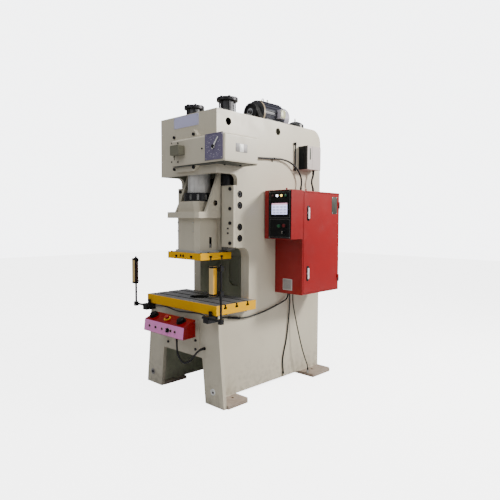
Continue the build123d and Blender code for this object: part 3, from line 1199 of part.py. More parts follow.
def panel_face():
    """Black face plate with the screen's bezel, the lamps and the button collars."""
    front, rear = PANEL_FRONT_Y - FACE, PANEL_FRONT_Y
    plate = block((FACE_LEFT_X, CABINET_X - 4), (front, rear), (PANEL_LOW_Z + 6, PANEL_HIGH_Z - 6))
    bezel = block((SCREEN_LEFT_X - BEZEL, SCREEN_RIGHT_X + BEZEL), (front - 4, front),
                  (SCREEN_LOW_Z - BEZEL, SCREEN_HIGH_Z + BEZEL))
    screen_x, screen_z = (SCREEN_LEFT_X, SCREEN_RIGHT_X), (SCREEN_LOW_Z, SCREEN_HIGH_Z)
    plate += bezel - block(screen_x, (front - 5, front - 2), screen_z)
    for x in LAMP_XS:
        plate += rod("Y", (x, LAMP_Z), LAMP_R, front - LAMP, front)
    for at in (START_AT, STOP_AT, SELECTOR_AT):
        plate += ring("Y", at, BUTTON_R + 4, BUTTON_STEM_R + RUN_GAP, front - BUTTON_COLLAR, front)
        plate -= rod("Y", at, BUTTON_STEM_R + RUN_GAP, front - 1, rear + 1)
    return plate


def panel_button(at, head_r):
    """Push button on its stem, through the face plate and the box."""
    collar = PANEL_FRONT_Y - FACE - BUTTON_COLLAR
    rear = PANEL_FRONT_Y + BUTTON_REAR
    button = rod("Y", at, head_r, collar - BUTTON_PROUD, collar - BUTTON_TRAVEL - 1)
    button = fillet(button.faces().sort_by(Axis.Y)[0].edges(), 3)
    button += rod("Y", at, BUTTON_STEM_R, collar - BUTTON_TRAVEL - 2, rear)
    return button + rod("Y", at, BUTTON_STEM_R + 4, rear - BUTTON_CLIP, rear)


def mode_selector():
    """Selector knob with a raised grip bar."""
    at, rear = SELECTOR_AT, PANEL_FRONT_Y + BUTTON_REAR
    collar = PANEL_FRONT_Y - FACE - BUTTON_COLLAR
    grip = BUTTON_R - 1
    knob = rod("Y", at, BUTTON_R, collar - BUTTON_PROUD / 2, collar - RUN_GAP)
    knob += block((at[0] - 4, at[0] + 4), (collar - 1.5 * BUTTON_PROUD, collar - BUTTON_PROUD / 2),
                  (at[1] - grip, at[1] + grip))
    knob += rod("Y", at, BUTTON_STEM_R, collar - 1, rear)
    return knob + rod("Y", at, BUTTON_STEM_R + 4, PANEL_FRONT_Y + SHEET + RUN_GAP, rear)


# Side fittings

def drive_box():
    """Drive housing on the right side plate, with cooling fins down its front."""
    y = (DRIVE_BOX_FRONT_Y, DRIVE_BOX_REAR_Y)
    box = block((HALF, DRIVE_BOX_X), y, (DRIVE_BOX_LOW_Z, DRIVE_BOX_HIGH_Z))
    box = fillet(box.edges().filter_by(Axis.Z), DRIVE_BOX_EDGE_R)
    room = DRIVE_BOX_X - HALF - 2 * DRIVE_SLOT_MARGIN
    for i in range(int((room - DRIVE_SLOT) // DRIVE_SLOT_PITCH) + 1):
        x = HALF + DRIVE_SLOT_MARGIN + i * DRIVE_SLOT_PITCH
        box -= block((x, x + DRIVE_SLOT), (y[0] - 1, y[0] + DRIVE_SLOT_DEPTH),
                     (DRIVE_BOX_LOW_Z - 1, DRIVE_BOX_HIGH_Z + 1))
    return box


def gauge_tube():
    """Upright level tube between two elbow fittings on the side plate."""
    at, half = (HALF + TUBE_STANDOFF, TUBE_Y), TUBE_FITTING / 2
    body = rod("Z", at, TUBE_R, TUBE_LOW_Z, TUBE_HIGH_Z)
    for z in (TUBE_LOW_Z + half, TUBE_HIGH_Z - half):
        body += rod("Z", at, TUBE_FITTING_R, z - half, z + half)
        body += rod("X", (TUBE_Y, z), TUBE_FITTING_R - 1, HALF, at[0])
    return body


# Two-hand station

def station_plane(x, along):
    """Plane on the station's sloping top at a distance up the slope from its front edge."""
    y = STATION_FRONT_HIGH[0] + along * cos(STATION_SLOPE)
    z = STATION_FRONT_HIGH[1] + along * sin(STATION_SLOPE)
    return Plane((x, y, z), (1, 0, 0), (0, -sin(STATION_SLOPE), cos(STATION_SLOPE)))


def station_face(x, along):
    """Plane on the station's leaning front at a distance up from its lower edge."""
    y = STATION_FRONT_LOW[0] + along * sin(STATION_LEAN)
    z = STATION_FRONT_LOW[1] + along * cos(STATION_LEAN)
    return Plane((x, y, z), (1, 0, 0), (0, -cos(STATION_LEAN), sin(STATION_LEAN)))


def on_plane(plane, radius, low, high):
    """Cylinder along a plane's normal between two heights."""
    return plane * Pos(0, 0, (low + high) / 2) * Cylinder(radius, high - low)


def control_station():
    """Folded sheet housing with button collars, keys and the cable's gland."""
    points = [STATION_FRONT_LOW, STATION_REAR_LOW, STATION_REAR_HIGH, STATION_FRONT_HIGH]
    shell = prism("X", STATION_LEFT_X, STATION_RIGHT_X, points)
    shell = fillet(shell.edges().filter_by(Axis.X), STATION_FOLD_R)
    start = Plane((STATION_LEFT_X + SHEET, 0, 0), (0, 1, 0), (1, 0, 0))
    inner = start * offset(outline(points), -SHEET)
    shell -= extrude(inner, STATION_RIGHT_X - STATION_LEFT_X - 2 * SHEET)
    buttons = [(x, PALM_COLLAR_R, PALM_COLLAR) for x in PALM_XS]
    buttons.append((ESTOP_X, ESTOP_COLLAR_R, ESTOP_COLLAR))
    for x, radius, height in buttons:
        plane = station_plane(x, TOP_MIDDLE)
        shell += on_plane(plane, radius, 0, height)
        shell -= on_plane(plane, PALM_STEM_R + RUN_GAP, -SHEET - 2, height + 1)
    for x in STATION_KEYS_X:
        shell += on_plane(station_face(x, FACE_MIDDLE), STATION_KEY_R, -1, STATION_KEY)
    shell -= on_plane(station_face(STATION_SELECTOR_X, FACE_MIDDLE), BUTTON_STEM_R + RUN_GAP, -SHEET - 2, 1)
    x, y, z = STATION_CABLE_ROUTE[0]
    shell += rod("Z", (x, y), STATION_CABLE / 2 + 4, z + GLAND / 2, z + GLAND + SHEET)
    return shell + gland((x, y, z), (0, 0, -1), STATION_CABLE)


def mushroom(plane, radius, proud, head, crown_r):
    """Domed head on a stem through the station's top, with its clip inside."""
    dome = Pos(0, 0, proud - head) * Cylinder(radius, head, align=(Align.CENTER, Align.CENTER, Align.MIN))
    dome = fillet(dome.faces().sort_by(Axis.Z)[-1].edges(), crown_r)
    button = plane * dome + on_plane(plane, PALM_STEM_R, -BUTTON_REAR, proud - head + 1)
    return button + on_plane(plane, PALM_STEM_R + 4, -BUTTON_REAR, -SHEET - 2.5)


def palm_button(x):
    """Domed palm button."""
    return mushroom(station_plane(x, TOP_MIDDLE), PALM_R, PALM_PROUD, PALM_HEAD, PALM_CROWN_R)


def estop_button():
    """Mushroom emergency-stop button."""
    return mushroom(station_plane(ESTOP_X, TOP_MIDDLE), ESTOP_R, ESTOP_PROUD, ESTOP_HEAD, ESTOP_CROWN_R)


def station_selector():
    """Selector on the station's front, with its grip bar."""
    plane = station_face(STATION_SELECTOR_X, FACE_MIDDLE)
    knob = on_plane(plane, STATION_SELECTOR_R, RUN_GAP, 10)
    knob += plane * Pos(0, 0, 16) * Box(STATION_GRIP, 2 * STATION_SELECTOR_R - 4, 14)
    knob += on_plane(plane, BUTTON_STEM_R, -BUTTON_REAR, 1)
    return knob + on_plane(plane, BUTTON_STEM_R + 4, -BUTTON_REAR, -SHEET - RUN_GAP)


def station_bracket():
    """Plate on the bed with two arms that hold the station."""
    y = (BED_FRONT_Y - BRACKET_PLATE, BED_FRONT_Y)
    bracket = block((-BRACKET_HALF, BRACKET_HALF), y, (BRACKET_LOW_Z, BRACKET_HIGH_Z))
    front = STATION_REAR_LOW[0]
    arm = [(front, STATION_REAR_LOW[1] + BRACKET_ARM_DROP), (y[0], BRACKET_LOW_Z + BRACKET_ARM_TOE),
           (y[0], BRACKET_HIGH_Z), (front, BRACKET_HIGH_Z)]
    for x in (-BRACKET_ARM_X, BRACKET_ARM_X):
        bracket += prism("X", x - BRACKET_ARM / 2, x + BRACKET_ARM / 2, arm)
    return bracket


# Cable fittings

def gland(tip, outward, diameter):
    """Cable gland whose tip meets the cable: hexagon nut on the housing, then a round dome."""
    base = Plane(origin=tip, z_dir=outward)
    nut = base * Pos(0, 0, -GLAND) * extrude(RegularPolygon(diameter / 2 + 6, 6), GLAND / 2)
    return nut + on_plane(base, diameter / 2 + 3, -GLAND / 2, 0)


def cable_fittings():
    """Glands where the cables leave the housings, and the terminals at their lower ends."""
    up, down, front, back = (0, 0, 1), (0, 0, -1), (0, -1, 0), (0, 1, 0)
    cam, drive, table = beside(CAM_CABLE_RUN), beside(DRIVE_CABLE_RUN), beside(TABLE_CABLE_RUN)
    floor, earth = beside(FLOOR_CABLE_RUN), beside(EARTH_LEAD_RUN)
    pieces = [gland(cam[0], back, CAM_CABLE), gland(cam[-1], up, CAM_CABLE),
              gland(drive[0], down, DRIVE_CABLE), gland(drive[-1], up, DRIVE_CABLE),
              gland(table[0], down, TABLE_CABLE), gland(table[-1], back, TABLE_CABLE),
              gland(floor[0], down, FLOOR_CABLE), gland(earth[0], down, EARTH_LEAD),
              gland(STATION_CABLE_ROUTE[-1], front, STATION_CABLE)]
    x, y, z = floor[-1]
    half = TERMINAL / 2
    pieces.append(block((HALF, x + half), (y - half, y + half), (z - TERMINAL, z)))
    x, y, z = earth[-1]
    pieces.append(rod("Z", (x, y), half, FOOT_PLATE, z))
    return pieces


# Light curtains

def curtain_post():
    """Right clamp block with its knob, arm, post and the brackets that hold the curtain bar."""
    post = block((CLAMP_INNER_X, CLAMP_OUTER_X), (CLAMP_FRONT_Y, BED_FRONT_Y), (CLAMP_LOW_Z, BED_TOP))
    knob_at = ((CLAMP_INNER_X + CLAMP_OUTER_X) / 2, (CLAMP_FRONT_Y + BED_FRONT_Y) / 2)
    post += rod("Z", knob_at, CLAMP_KNOB_R, BED_TOP, BED_TOP + CLAMP_KNOB)
    post += rod("X", (POST_Y, ARM_Z), ARM_R, CLAMP_INNER_X - 24, POST_X + 18)
    post += block((POST_X - 16, POST_X + 16), (POST_Y - 15, POST_Y + 15), (POST_LOW_Z - 8, ARM_Z + 16))
    post += rod("Z", (POST_X, POST_Y), POST_R, POST_LOW_Z, POST_HIGH_Z)
    rear = BAR_Y + BAR_DEPTH / 2
    for z in (BAR_LOW_Z + BAR_BRACKET, BAR_HIGH_Z - 2 * BAR_BRACKET):
        clamp_z = (z - BAR_BRACKET, z + 2 * BAR_BRACKET)
        post += block((POST_X - 15, POST_X + 15), (POST_Y - 15, POST_Y + 15), clamp_z)
        post += block((BAR_X - 10, POST_X - 10), (rear, POST_Y - 4), (z, z + BAR_BRACKET))
    return post


def curtain_bar():
    """Right light-curtain bar with a window groove in its inner face."""
    x = (BAR_X - BAR_WIDTH / 2, BAR_X + BAR_WIDTH / 2)
    y = (BAR_Y - BAR_DEPTH / 2, BAR_Y + BAR_DEPTH / 2)
    bar = block(x, y, (BAR_LOW_Z, BAR_HIGH_Z))
    bar = fillet(bar.edges().filter_by(Axis.Z), BAR_EDGE_R)
    groove_y = (y[0] + BAR_GROOVE_MARGIN, y[1] - BAR_GROOVE_MARGIN)
    return bar - block((x[0] - 1, x[0] + BAR_GROOVE), groove_y, (BAR_LOW_Z + 18, BAR_HIGH_Z - 18))


PARTS = {
    "side_plates": lambda: pair(side_plate),
    "column_liners": lambda: pair(column_liner),
    "crown_walls": crown_walls,
    "crown_top_plate": lambda: [crown_top_plate()],
    "cross_plates": cross_plates,
    "bed_front_plate": lambda: [bed_front_plate()],
    "foot_plates": foot_plates,
    "gibs": gibs,
    "frame_screws": frame_screws,
    "bolster": lambda: [bolster()],
    "bearing_cover": lambda: [bearing_cover()],
    "cam_cover": lambda: [cam_cover()],
    "dial_plate": lambda: [dial_plate()],
    "cam_switch_box": lambda: [cam_switch_box()],
    "banner_plate": lambda: [banner_plate()],
    "cable_fittings": cable_fittings,
    "balance_cylinders": lambda: pair(balance_cylinder),
    "air_tank": lambda: [air_tank()],
    "crank_bushes": crank_bushes,
    "motor": lambda: [motor()],
    "v_belts": v_belts,
    "cabinet_shell": lambda: [cabinet_shell()],
    "hinge_pins": hinge_pins,
    "cabinet_panel": lambda: [cabinet_panel()],
    "panel_box": lambda: [panel_box()],
    "panel_face": lambda: [panel_face()],
    "drive_box": lambda: [drive_box()],
    "gauge_tube": lambda: [gauge_tube()],
    "control_station": lambda: [control_station()],
    "station_bracket": lambda: [station_bracket()],
    "curtain_posts": lambda: pair(curtain_post),
    "curtain_bars": lambda: pair(curtain_bar),
    "slide_body": lambda: [slide_body()],
    "ram_plate": ram_plate,
    "plunger_tube": lambda: [plunger_tube()],
    "ring_nut": lambda: [ring_nut()],
    "balance_rods": lambda: pair(balance_rod),
    "knockout_bar": lambda: [knockout_bar()],
    "crankshaft": lambda: [crankshaft()],
    "pitman": lambda: [pitman()],
    "flywheel": lambda: [flywheel()],
    "motor_pulley": lambda: [motor_pulley()],
    "dial_pointer": lambda: [dial_pointer()],
    "palm_button_left": lambda: [palm_button(PALM_XS[0])],
    "palm_button_right": lambda: [palm_button(PALM_XS[1])],
    "estop_button": lambda: [estop_button()],
    "station_selector": lambda: [station_selector()],
    "cabinet_door": lambda: [cabinet_door()],
    "door_lever_upper": lambda: [door_lever(LEVER_ZS[0])],
    "door_lever_lower": lambda: [door_lever(LEVER_ZS[1])],
    "start_button": lambda: [panel_button(START_AT, BUTTON_R)],
    "stop_button": lambda: [panel_button(STOP_AT, BUTTON_R)],
    "mode_selector": lambda: [mode_selector()],
    "cam_cable": lambda: tube(beside(CAM_CABLE_RUN), CAM_CABLE, "cam_cable"),
    "drive_cable": lambda: tube(beside(DRIVE_CABLE_RUN), DRIVE_CABLE, "drive_cable"),
    "station_cable": lambda: tube(STATION_CABLE_ROUTE, STATION_CABLE, "station_cable"),
    "table_cable": lambda: tube(beside(TABLE_CABLE_RUN), TABLE_CABLE, "table_cable"),
    "floor_cable": lambda: tube(beside(FLOOR_CABLE_RUN), FLOOR_CABLE, "floor_cable"),
    "earth_lead": lambda: tube(beside(EARTH_LEAD_RUN), EARTH_LEAD, "earth_lead"),
    "curtain_cable": lambda: tube(between_clamps(CURTAIN_CABLE_RUN), CURTAIN_CABLE, "curtain_cable"),
}


def main():
    """Build every sub-part and write it in the frame of the anchor holes."""
    os.makedirs("parts", exist_ok=True)
    for name, make in PARTS.items():
        solids = [s.moved(Location((0, -ANCHOR_MID_Y, 0))) for item in make() for s in item.solids()]
        export_step(Compound(children=solids) if len(solids) > 1 else solids[0], f"parts/{name}.step")


main()
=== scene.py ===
"""Looks of the stamping press: finishes, fine detail, cables, floor, lights and camera.

Every length is in metres in the row frame: +X right, +Y to the back, +Z up, with the origin on the
floor at the centre of the four anchor holes. Sizes and places of the machine's own parts are given
in millimetres from the crown's front face, and TO_ROW and spot() turn them into the row frame.
"""
from __future__ import annotations

import json
import logging
from collections.abc import Callable, Sequence
from dataclasses import dataclass
from enum import Enum
from itertools import product
from math import cos, hypot, pi, radians, sin, tau

import bmesh
import bpy
from mathutils import Matrix, Vector

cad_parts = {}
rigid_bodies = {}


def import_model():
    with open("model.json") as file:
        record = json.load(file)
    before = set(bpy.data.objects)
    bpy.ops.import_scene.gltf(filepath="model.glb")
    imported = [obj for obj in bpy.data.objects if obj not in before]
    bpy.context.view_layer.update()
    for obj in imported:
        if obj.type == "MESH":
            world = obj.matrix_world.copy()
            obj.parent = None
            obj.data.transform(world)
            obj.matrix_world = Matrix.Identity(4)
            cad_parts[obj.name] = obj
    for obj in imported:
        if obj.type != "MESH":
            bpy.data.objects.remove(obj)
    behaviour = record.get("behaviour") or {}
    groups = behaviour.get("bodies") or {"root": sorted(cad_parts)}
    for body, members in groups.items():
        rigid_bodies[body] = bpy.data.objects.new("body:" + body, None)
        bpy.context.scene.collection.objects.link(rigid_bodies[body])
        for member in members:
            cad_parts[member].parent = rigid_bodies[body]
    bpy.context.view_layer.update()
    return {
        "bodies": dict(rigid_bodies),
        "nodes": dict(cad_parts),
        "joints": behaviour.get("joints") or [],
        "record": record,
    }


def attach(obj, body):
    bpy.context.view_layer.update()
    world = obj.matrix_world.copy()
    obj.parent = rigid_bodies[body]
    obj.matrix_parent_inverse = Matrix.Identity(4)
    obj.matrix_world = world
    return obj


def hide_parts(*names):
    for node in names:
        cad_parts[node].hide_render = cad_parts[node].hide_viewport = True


LOG = logging.getLogger("press")
MM = 0.001
CROWN_FRONT_Y = -0.6505
TO_ROW = Matrix.Translation(Vector((0.0, CROWN_FRONT_Y, 0.0))) @ Matrix.Scale(MM, 4)
Colour = tuple[float, float, float]
Point = tuple[float, float, float]
Span = tuple[float, float]
Spot = tuple[Vector, Vector, float]
Socket = bpy.types.NodeSocket
RIGHT, LEFT = Vector((1, 0, 0)), Vector((-1, 0, 0))
FRONT, BACK = Vector((0, -1, 0)), Vector((0, 1, 0))
UP, DOWN = Vector((0, 0, 1)), Vector((0, 0, -1))


def spot(x: float, y: float, z: float) -> Vector:
    """Turn a place in the drawing's millimetres into the row frame's metres."""
    return Vector((x * MM, y * MM + CROWN_FRONT_Y, z * MM))


def link(name: str, data: bpy.types.ID) -> bpy.types.Object:
    """Make an object of some data and link it to the scene.

    Args:
        name: The object's name.
        data: What it shows.

    Returns:
        The new object.
    """
    thing = bpy.data.objects.new(name, data)
    bpy.context.scene.collection.objects.link(thing)
    return thing


def plain_mesh(thing: bpy.types.Object) -> bpy.types.Mesh:
    """Give an object's finished mesh, with its curve or its modifiers made plain."""
    return bpy.data.meshes.new_from_object(thing.evaluated_get(bpy.context.evaluated_depsgraph_get()))


class Wiring:
    """Adds nodes to one tree and sets their sockets."""

    def __init__(self, tree: bpy.types.NodeTree) -> None:
        """Keep the tree that the nodes go into."""
        self.tree = tree

    def feed(self, node: bpy.types.Node, inputs: dict) -> None:
        """Set inputs, by name or number, to values or to the sockets that feed them.

        Args:
            node: The node.
            inputs: Input name or number to a value, or to a socket that feeds it.
        """
        for key, value in inputs.items():
            if isinstance(value, Socket):
                self.tree.links.new(value, node.inputs[key])
            else:
                node.inputs[key].default_value = value

    def add(self, kind: str, inputs: dict | None = None, **settings: object) -> bpy.types.Node:
        """Add a node.

        Args:
            kind: The node's type name.
            inputs: Input name or number to a value, or to a socket that feeds it.
            settings: Properties of the node itself.

        Returns:
            The new node.
        """
        node = self.tree.nodes.new(kind)
        for key, value in settings.items():
            setattr(node, key, value)
        self.feed(node, inputs or {})
        return node

    def where(self) -> Socket:
        """Add the object's own coordinates and return their socket."""
        return self.add("ShaderNodeTexCoord").outputs["Object"]

    def noise(self, vector: Socket, scale: object, detail: float) -> Socket:
        """Add a noise texture and return its value's socket."""
        return self.add("ShaderNodeTexNoise", {"Vector": vector, "Scale": scale, "Detail": detail}).outputs[0]

    def remap(self, value: Socket, low: object, high: object, to_low: float = 0.0,
              to_high: float = 1.0) -> Socket:
        """Stretch a value's range to a new one, clamped, and return the result's socket."""
        return self.add("ShaderNodeMapRange", {0: value, 1: low, 2: high, 3: to_low, 4: to_high}).outputs[0]

    def times(self, a: Socket, b: object) -> Socket:
        """Multiply two values and return the result's socket."""
        return self.add("ShaderNodeMath", {0: a, 1: b}, operation="MULTIPLY").outputs[0]

    def mix(self, factor: Socket, a: object, b: object) -> Socket:
        """Mix two colours by a factor and return the result's socket."""
        return self.add("ShaderNodeMix", {0: factor, 6: a, 7: b}, data_type="RGBA").outputs[2]

    def bump(self, height: Socket, strength: float, distance: float) -> Socket:
        """Raise the surface by a height and return the normal's socket."""
        return self.add("ShaderNodeBump",
                        {"Height": height, "Strength": strength, "Distance": distance}).outputs[0]


def group_tree(name: str, inputs: dict[str, object],
               outputs: tuple[str, ...]) -> tuple[Wiring, object, object]:
    """Start a shader node group with named sockets.

    Args:
        name: The group's name.
        inputs: Input name to its default, a number or a vector.
        outputs: Names of the value outputs.

    Returns:
        The group's wiring, its input node's outputs and its output node.
    """
    tree = bpy.data.node_groups.new(name, "ShaderNodeTree")
    for label, default in inputs.items():
        kind = "NodeSocketVector" if isinstance(default, tuple) else "NodeSocketFloat"
        tree.interface.new_socket(label, in_out="INPUT", socket_type=kind).default_value = default
    for label in outputs:
        tree.interface.new_socket(label, in_out="OUTPUT", socket_type="NodeSocketFloat")
    w = Wiring(tree)
    return w, w.add("NodeGroupInput").outputs, w.add("NodeGroupOutput")


class Effects:
    """Shader node groups that several finishes share."""

    def __init__(self) -> None:
        """Build each group once."""
        self.skin, self.grain, self.wear = self._skin(), self._grain(), self._wear()

    @staticmethod
    def _skin() -> bpy.types.NodeTree:
        """Sprayed paint: fine peel, broad cloud, and grime that rises from the floor.

        Returns:
            The group's tree.
        """
        w, inside, out = group_tree("paint_skin", {"Peel": 650.0, "Cloud": 2.2, "Grime height": 0.3},
                                    ("Cloud", "Grime", "Height"))
        where = w.where()
        rise = w.add("ShaderNodeSeparateXYZ", {0: where}).outputs[2]
        low = w.remap(rise, 0.0, inside["Grime height"], 1.0, 0.0)
        w.feed(out, {"Cloud": w.remap(w.noise(where, inside["Cloud"], 4.0), 0.3, 0.7),
                     "Grime": w.times(low, w.remap(w.noise(where, 26.0, 6.0), 0.42, 0.7)),
                     "Height": w.noise(where, inside["Peel"], 1.0)})
        return w.tree

    @staticmethod
    def _grain() -> bpy.types.NodeTree:
        """Machining marks drawn out along one direction.

        Returns:
            The group's tree.
        """
        w, inside, out = group_tree("machined_grain", {"Stretch": (6.0, 500.0, 500.0)}, ("Streak", "Height"))
        drawn = w.add("ShaderNodeVectorMath", {0: w.where(), 1: inside["Stretch"]}, operation="MULTIPLY")
        fine = w.noise(drawn.outputs[0], 1.0, 3.0)
        w.feed(out, {"Streak": w.remap(fine, 0.3, 0.7), "Height": fine})
        return w.tree

    @staticmethod
    def _wear() -> bpy.types.NodeTree:
        """Small handling marks: sparse scuffs and smears.

        Returns:
            The group's tree.
        """
        w, inside, out = group_tree("handling_marks", {"Scale": 9.0, "Amount": 0.5}, ("Scuff", "Smear"))
        where = w.where()
        broad = w.noise(where, inside["Scale"], 5.0)
        fine = w.noise(where, w.times(inside["Scale"], 14.0), 3.0)
        scuff = w.times(w.remap(broad, 0.55, 0.75), w.remap(fine, 0.55, 0.62))
        w.feed(out, {"Scuff": w.times(scuff, inside["Amount"]),
                     "Smear": w.times(w.remap(broad, 0.4, 0.7), inside["Amount"])})
        return w.tree


def start_material(name: str) -> tuple[bpy.types.Material, Wiring, bpy.types.Node]:
    """Make an empty node material and give it with its wiring and its Principled shader.

    Args:
        name: The material's name.

    Returns:
        The material, its wiring and its shader.
    """
    material = bpy.data.materials.new(name)
    material.use_nodes = True
    return material, Wiring(material.node_tree), material.node_tree.nodes["Principled BSDF"]


def rgba(colour: Colour, scale: float = 1.0, lift: float = 0.0) -> tuple[float, ...]:
    """Scale and lift a colour, and add a full alpha."""
    return (*(scale * c + lift for c in colour), 1.0)


@dataclass(frozen=True)
class Paint:
    """Sprayed enamel with peel, cloudiness, handling marks and grime near the floor."""

    slot: str
    colour: Colour
    shade: Colour
    roughness: float = 0.38
    peel: float = 0.25
    coat: float = 0.15
    marks: float = 0.35
    shine: float = 0.3
    grime: Colour = (0.16, 0.13, 0.10)

    def build(self, name: str, effects: Effects) -> bpy.types.Material:
        """Make the material.

        Args:
            name: The material's name.
            effects: The shared node groups.

        Returns:
            The material.
        """
        material, w, shader = start_material(name)
        skin = w.add("ShaderNodeGroup", node_tree=effects.skin).outputs
        wear = w.add("ShaderNodeGroup", {"Amount": self.marks}, node_tree=effects.wear).outputs
        base = w.mix(skin["Cloud"], rgba(self.colour), rgba(self.shade))
        rubbed = w.mix(wear["Scuff"], base, rgba(self.shade, 0.5, 0.06))
        w.feed(shader, {"Base Color": w.mix(w.times(skin["Grime"], 0.45), rubbed, rgba(self.grime)),
                        "Roughness": w.remap(wear["Smear"], 0.0, 0.5, self.roughness - 0.05,
                                             self.roughness + 0.1),
                        "Normal": w.bump(skin["Height"], self.peel, 0.0004), "Coat Weight": self.coat,
                        "Coat Roughness": 0.3, "Specular IOR Level": self.shine})
        return material


@dataclass(frozen=True)
class Steel:
    """Bare or blackened metal with drawn-out tool marks."""

    slot: str
    colour: Colour
    shade: Colour
    roughness: float = 0.34
    stretch: Point = (6.0, 500.0, 500.0)
    metallic: float = 1.0
    depth: float = 0.2

    def build(self, name: str, effects: Effects) -> bpy.types.Material:
        """Make the material.

        Args:
            name: The material's name.
            effects: The shared node groups.

        Returns:
            The material.
        """
        material, w, shader = start_material(name)
        grain = w.add("ShaderNodeGroup", {"Stretch": self.stretch}, node_tree=effects.grain).outputs
        wear = w.add("ShaderNodeGroup", {"Scale": 14.0, "Amount": 0.6}, node_tree=effects.wear).outputs
        tone = w.mix(grain["Streak"], rgba(self.colour), rgba(self.shade))
        w.feed(shader, {"Base Color": w.mix(wear["Smear"], tone, rgba(self.shade, 0.7)),
                        "Roughness": w.remap(grain["Streak"], 0.0, 1.0, self.roughness - 0.06,
                                             self.roughness + 0.1),
                        "Normal": w.bump(grain["Height"], self.depth, 0.0002), "Metallic": self.metallic})
        return material


@dataclass(frozen=True)
class Moulded:
    """Plastic or rubber with a fine moulded texture."""

    slot: str
    colour: Colour
    roughness: float = 0.45
    texture: float = 900.0
    depth: float = 0.15
    coat: float = 0.0
    glow: float = 0.0
    shine: float = 0.25

    def build(self, name: str, effects: Effects) -> bpy.types.Material:
        """Make the material.

        Args:
            name: The material's name.
            effects: The shared node groups.

        Returns:
            The material.
        """
        material, w, shader = start_material(name)
        skin = w.add("ShaderNodeGroup", {"Peel": self.texture, "Cloud": 20.0}, node_tree=effects.skin).outputs
        wear = w.add("ShaderNodeGroup", {"Scale": 30.0, "Amount": 0.4}, node_tree=effects.wear).outputs
        tint = w.mix(skin["Cloud"], rgba(self.colour), rgba(self.colour, 0.82))
        w.feed(shader, {"Base Color": tint, "Coat Weight": self.coat, "Specular IOR Level": self.shine,
                        "Roughness": w.remap(wear["Smear"], 0.0, 0.4, self.roughness - 0.04,
                                             self.roughness + 0.08),
                        "Normal": w.bump(skin["Height"], self.depth, 0.0002)})
        if self.glow:
            w.feed(shader, {"Emission Color": tint, "Emission Strength": self.glow})
        return material


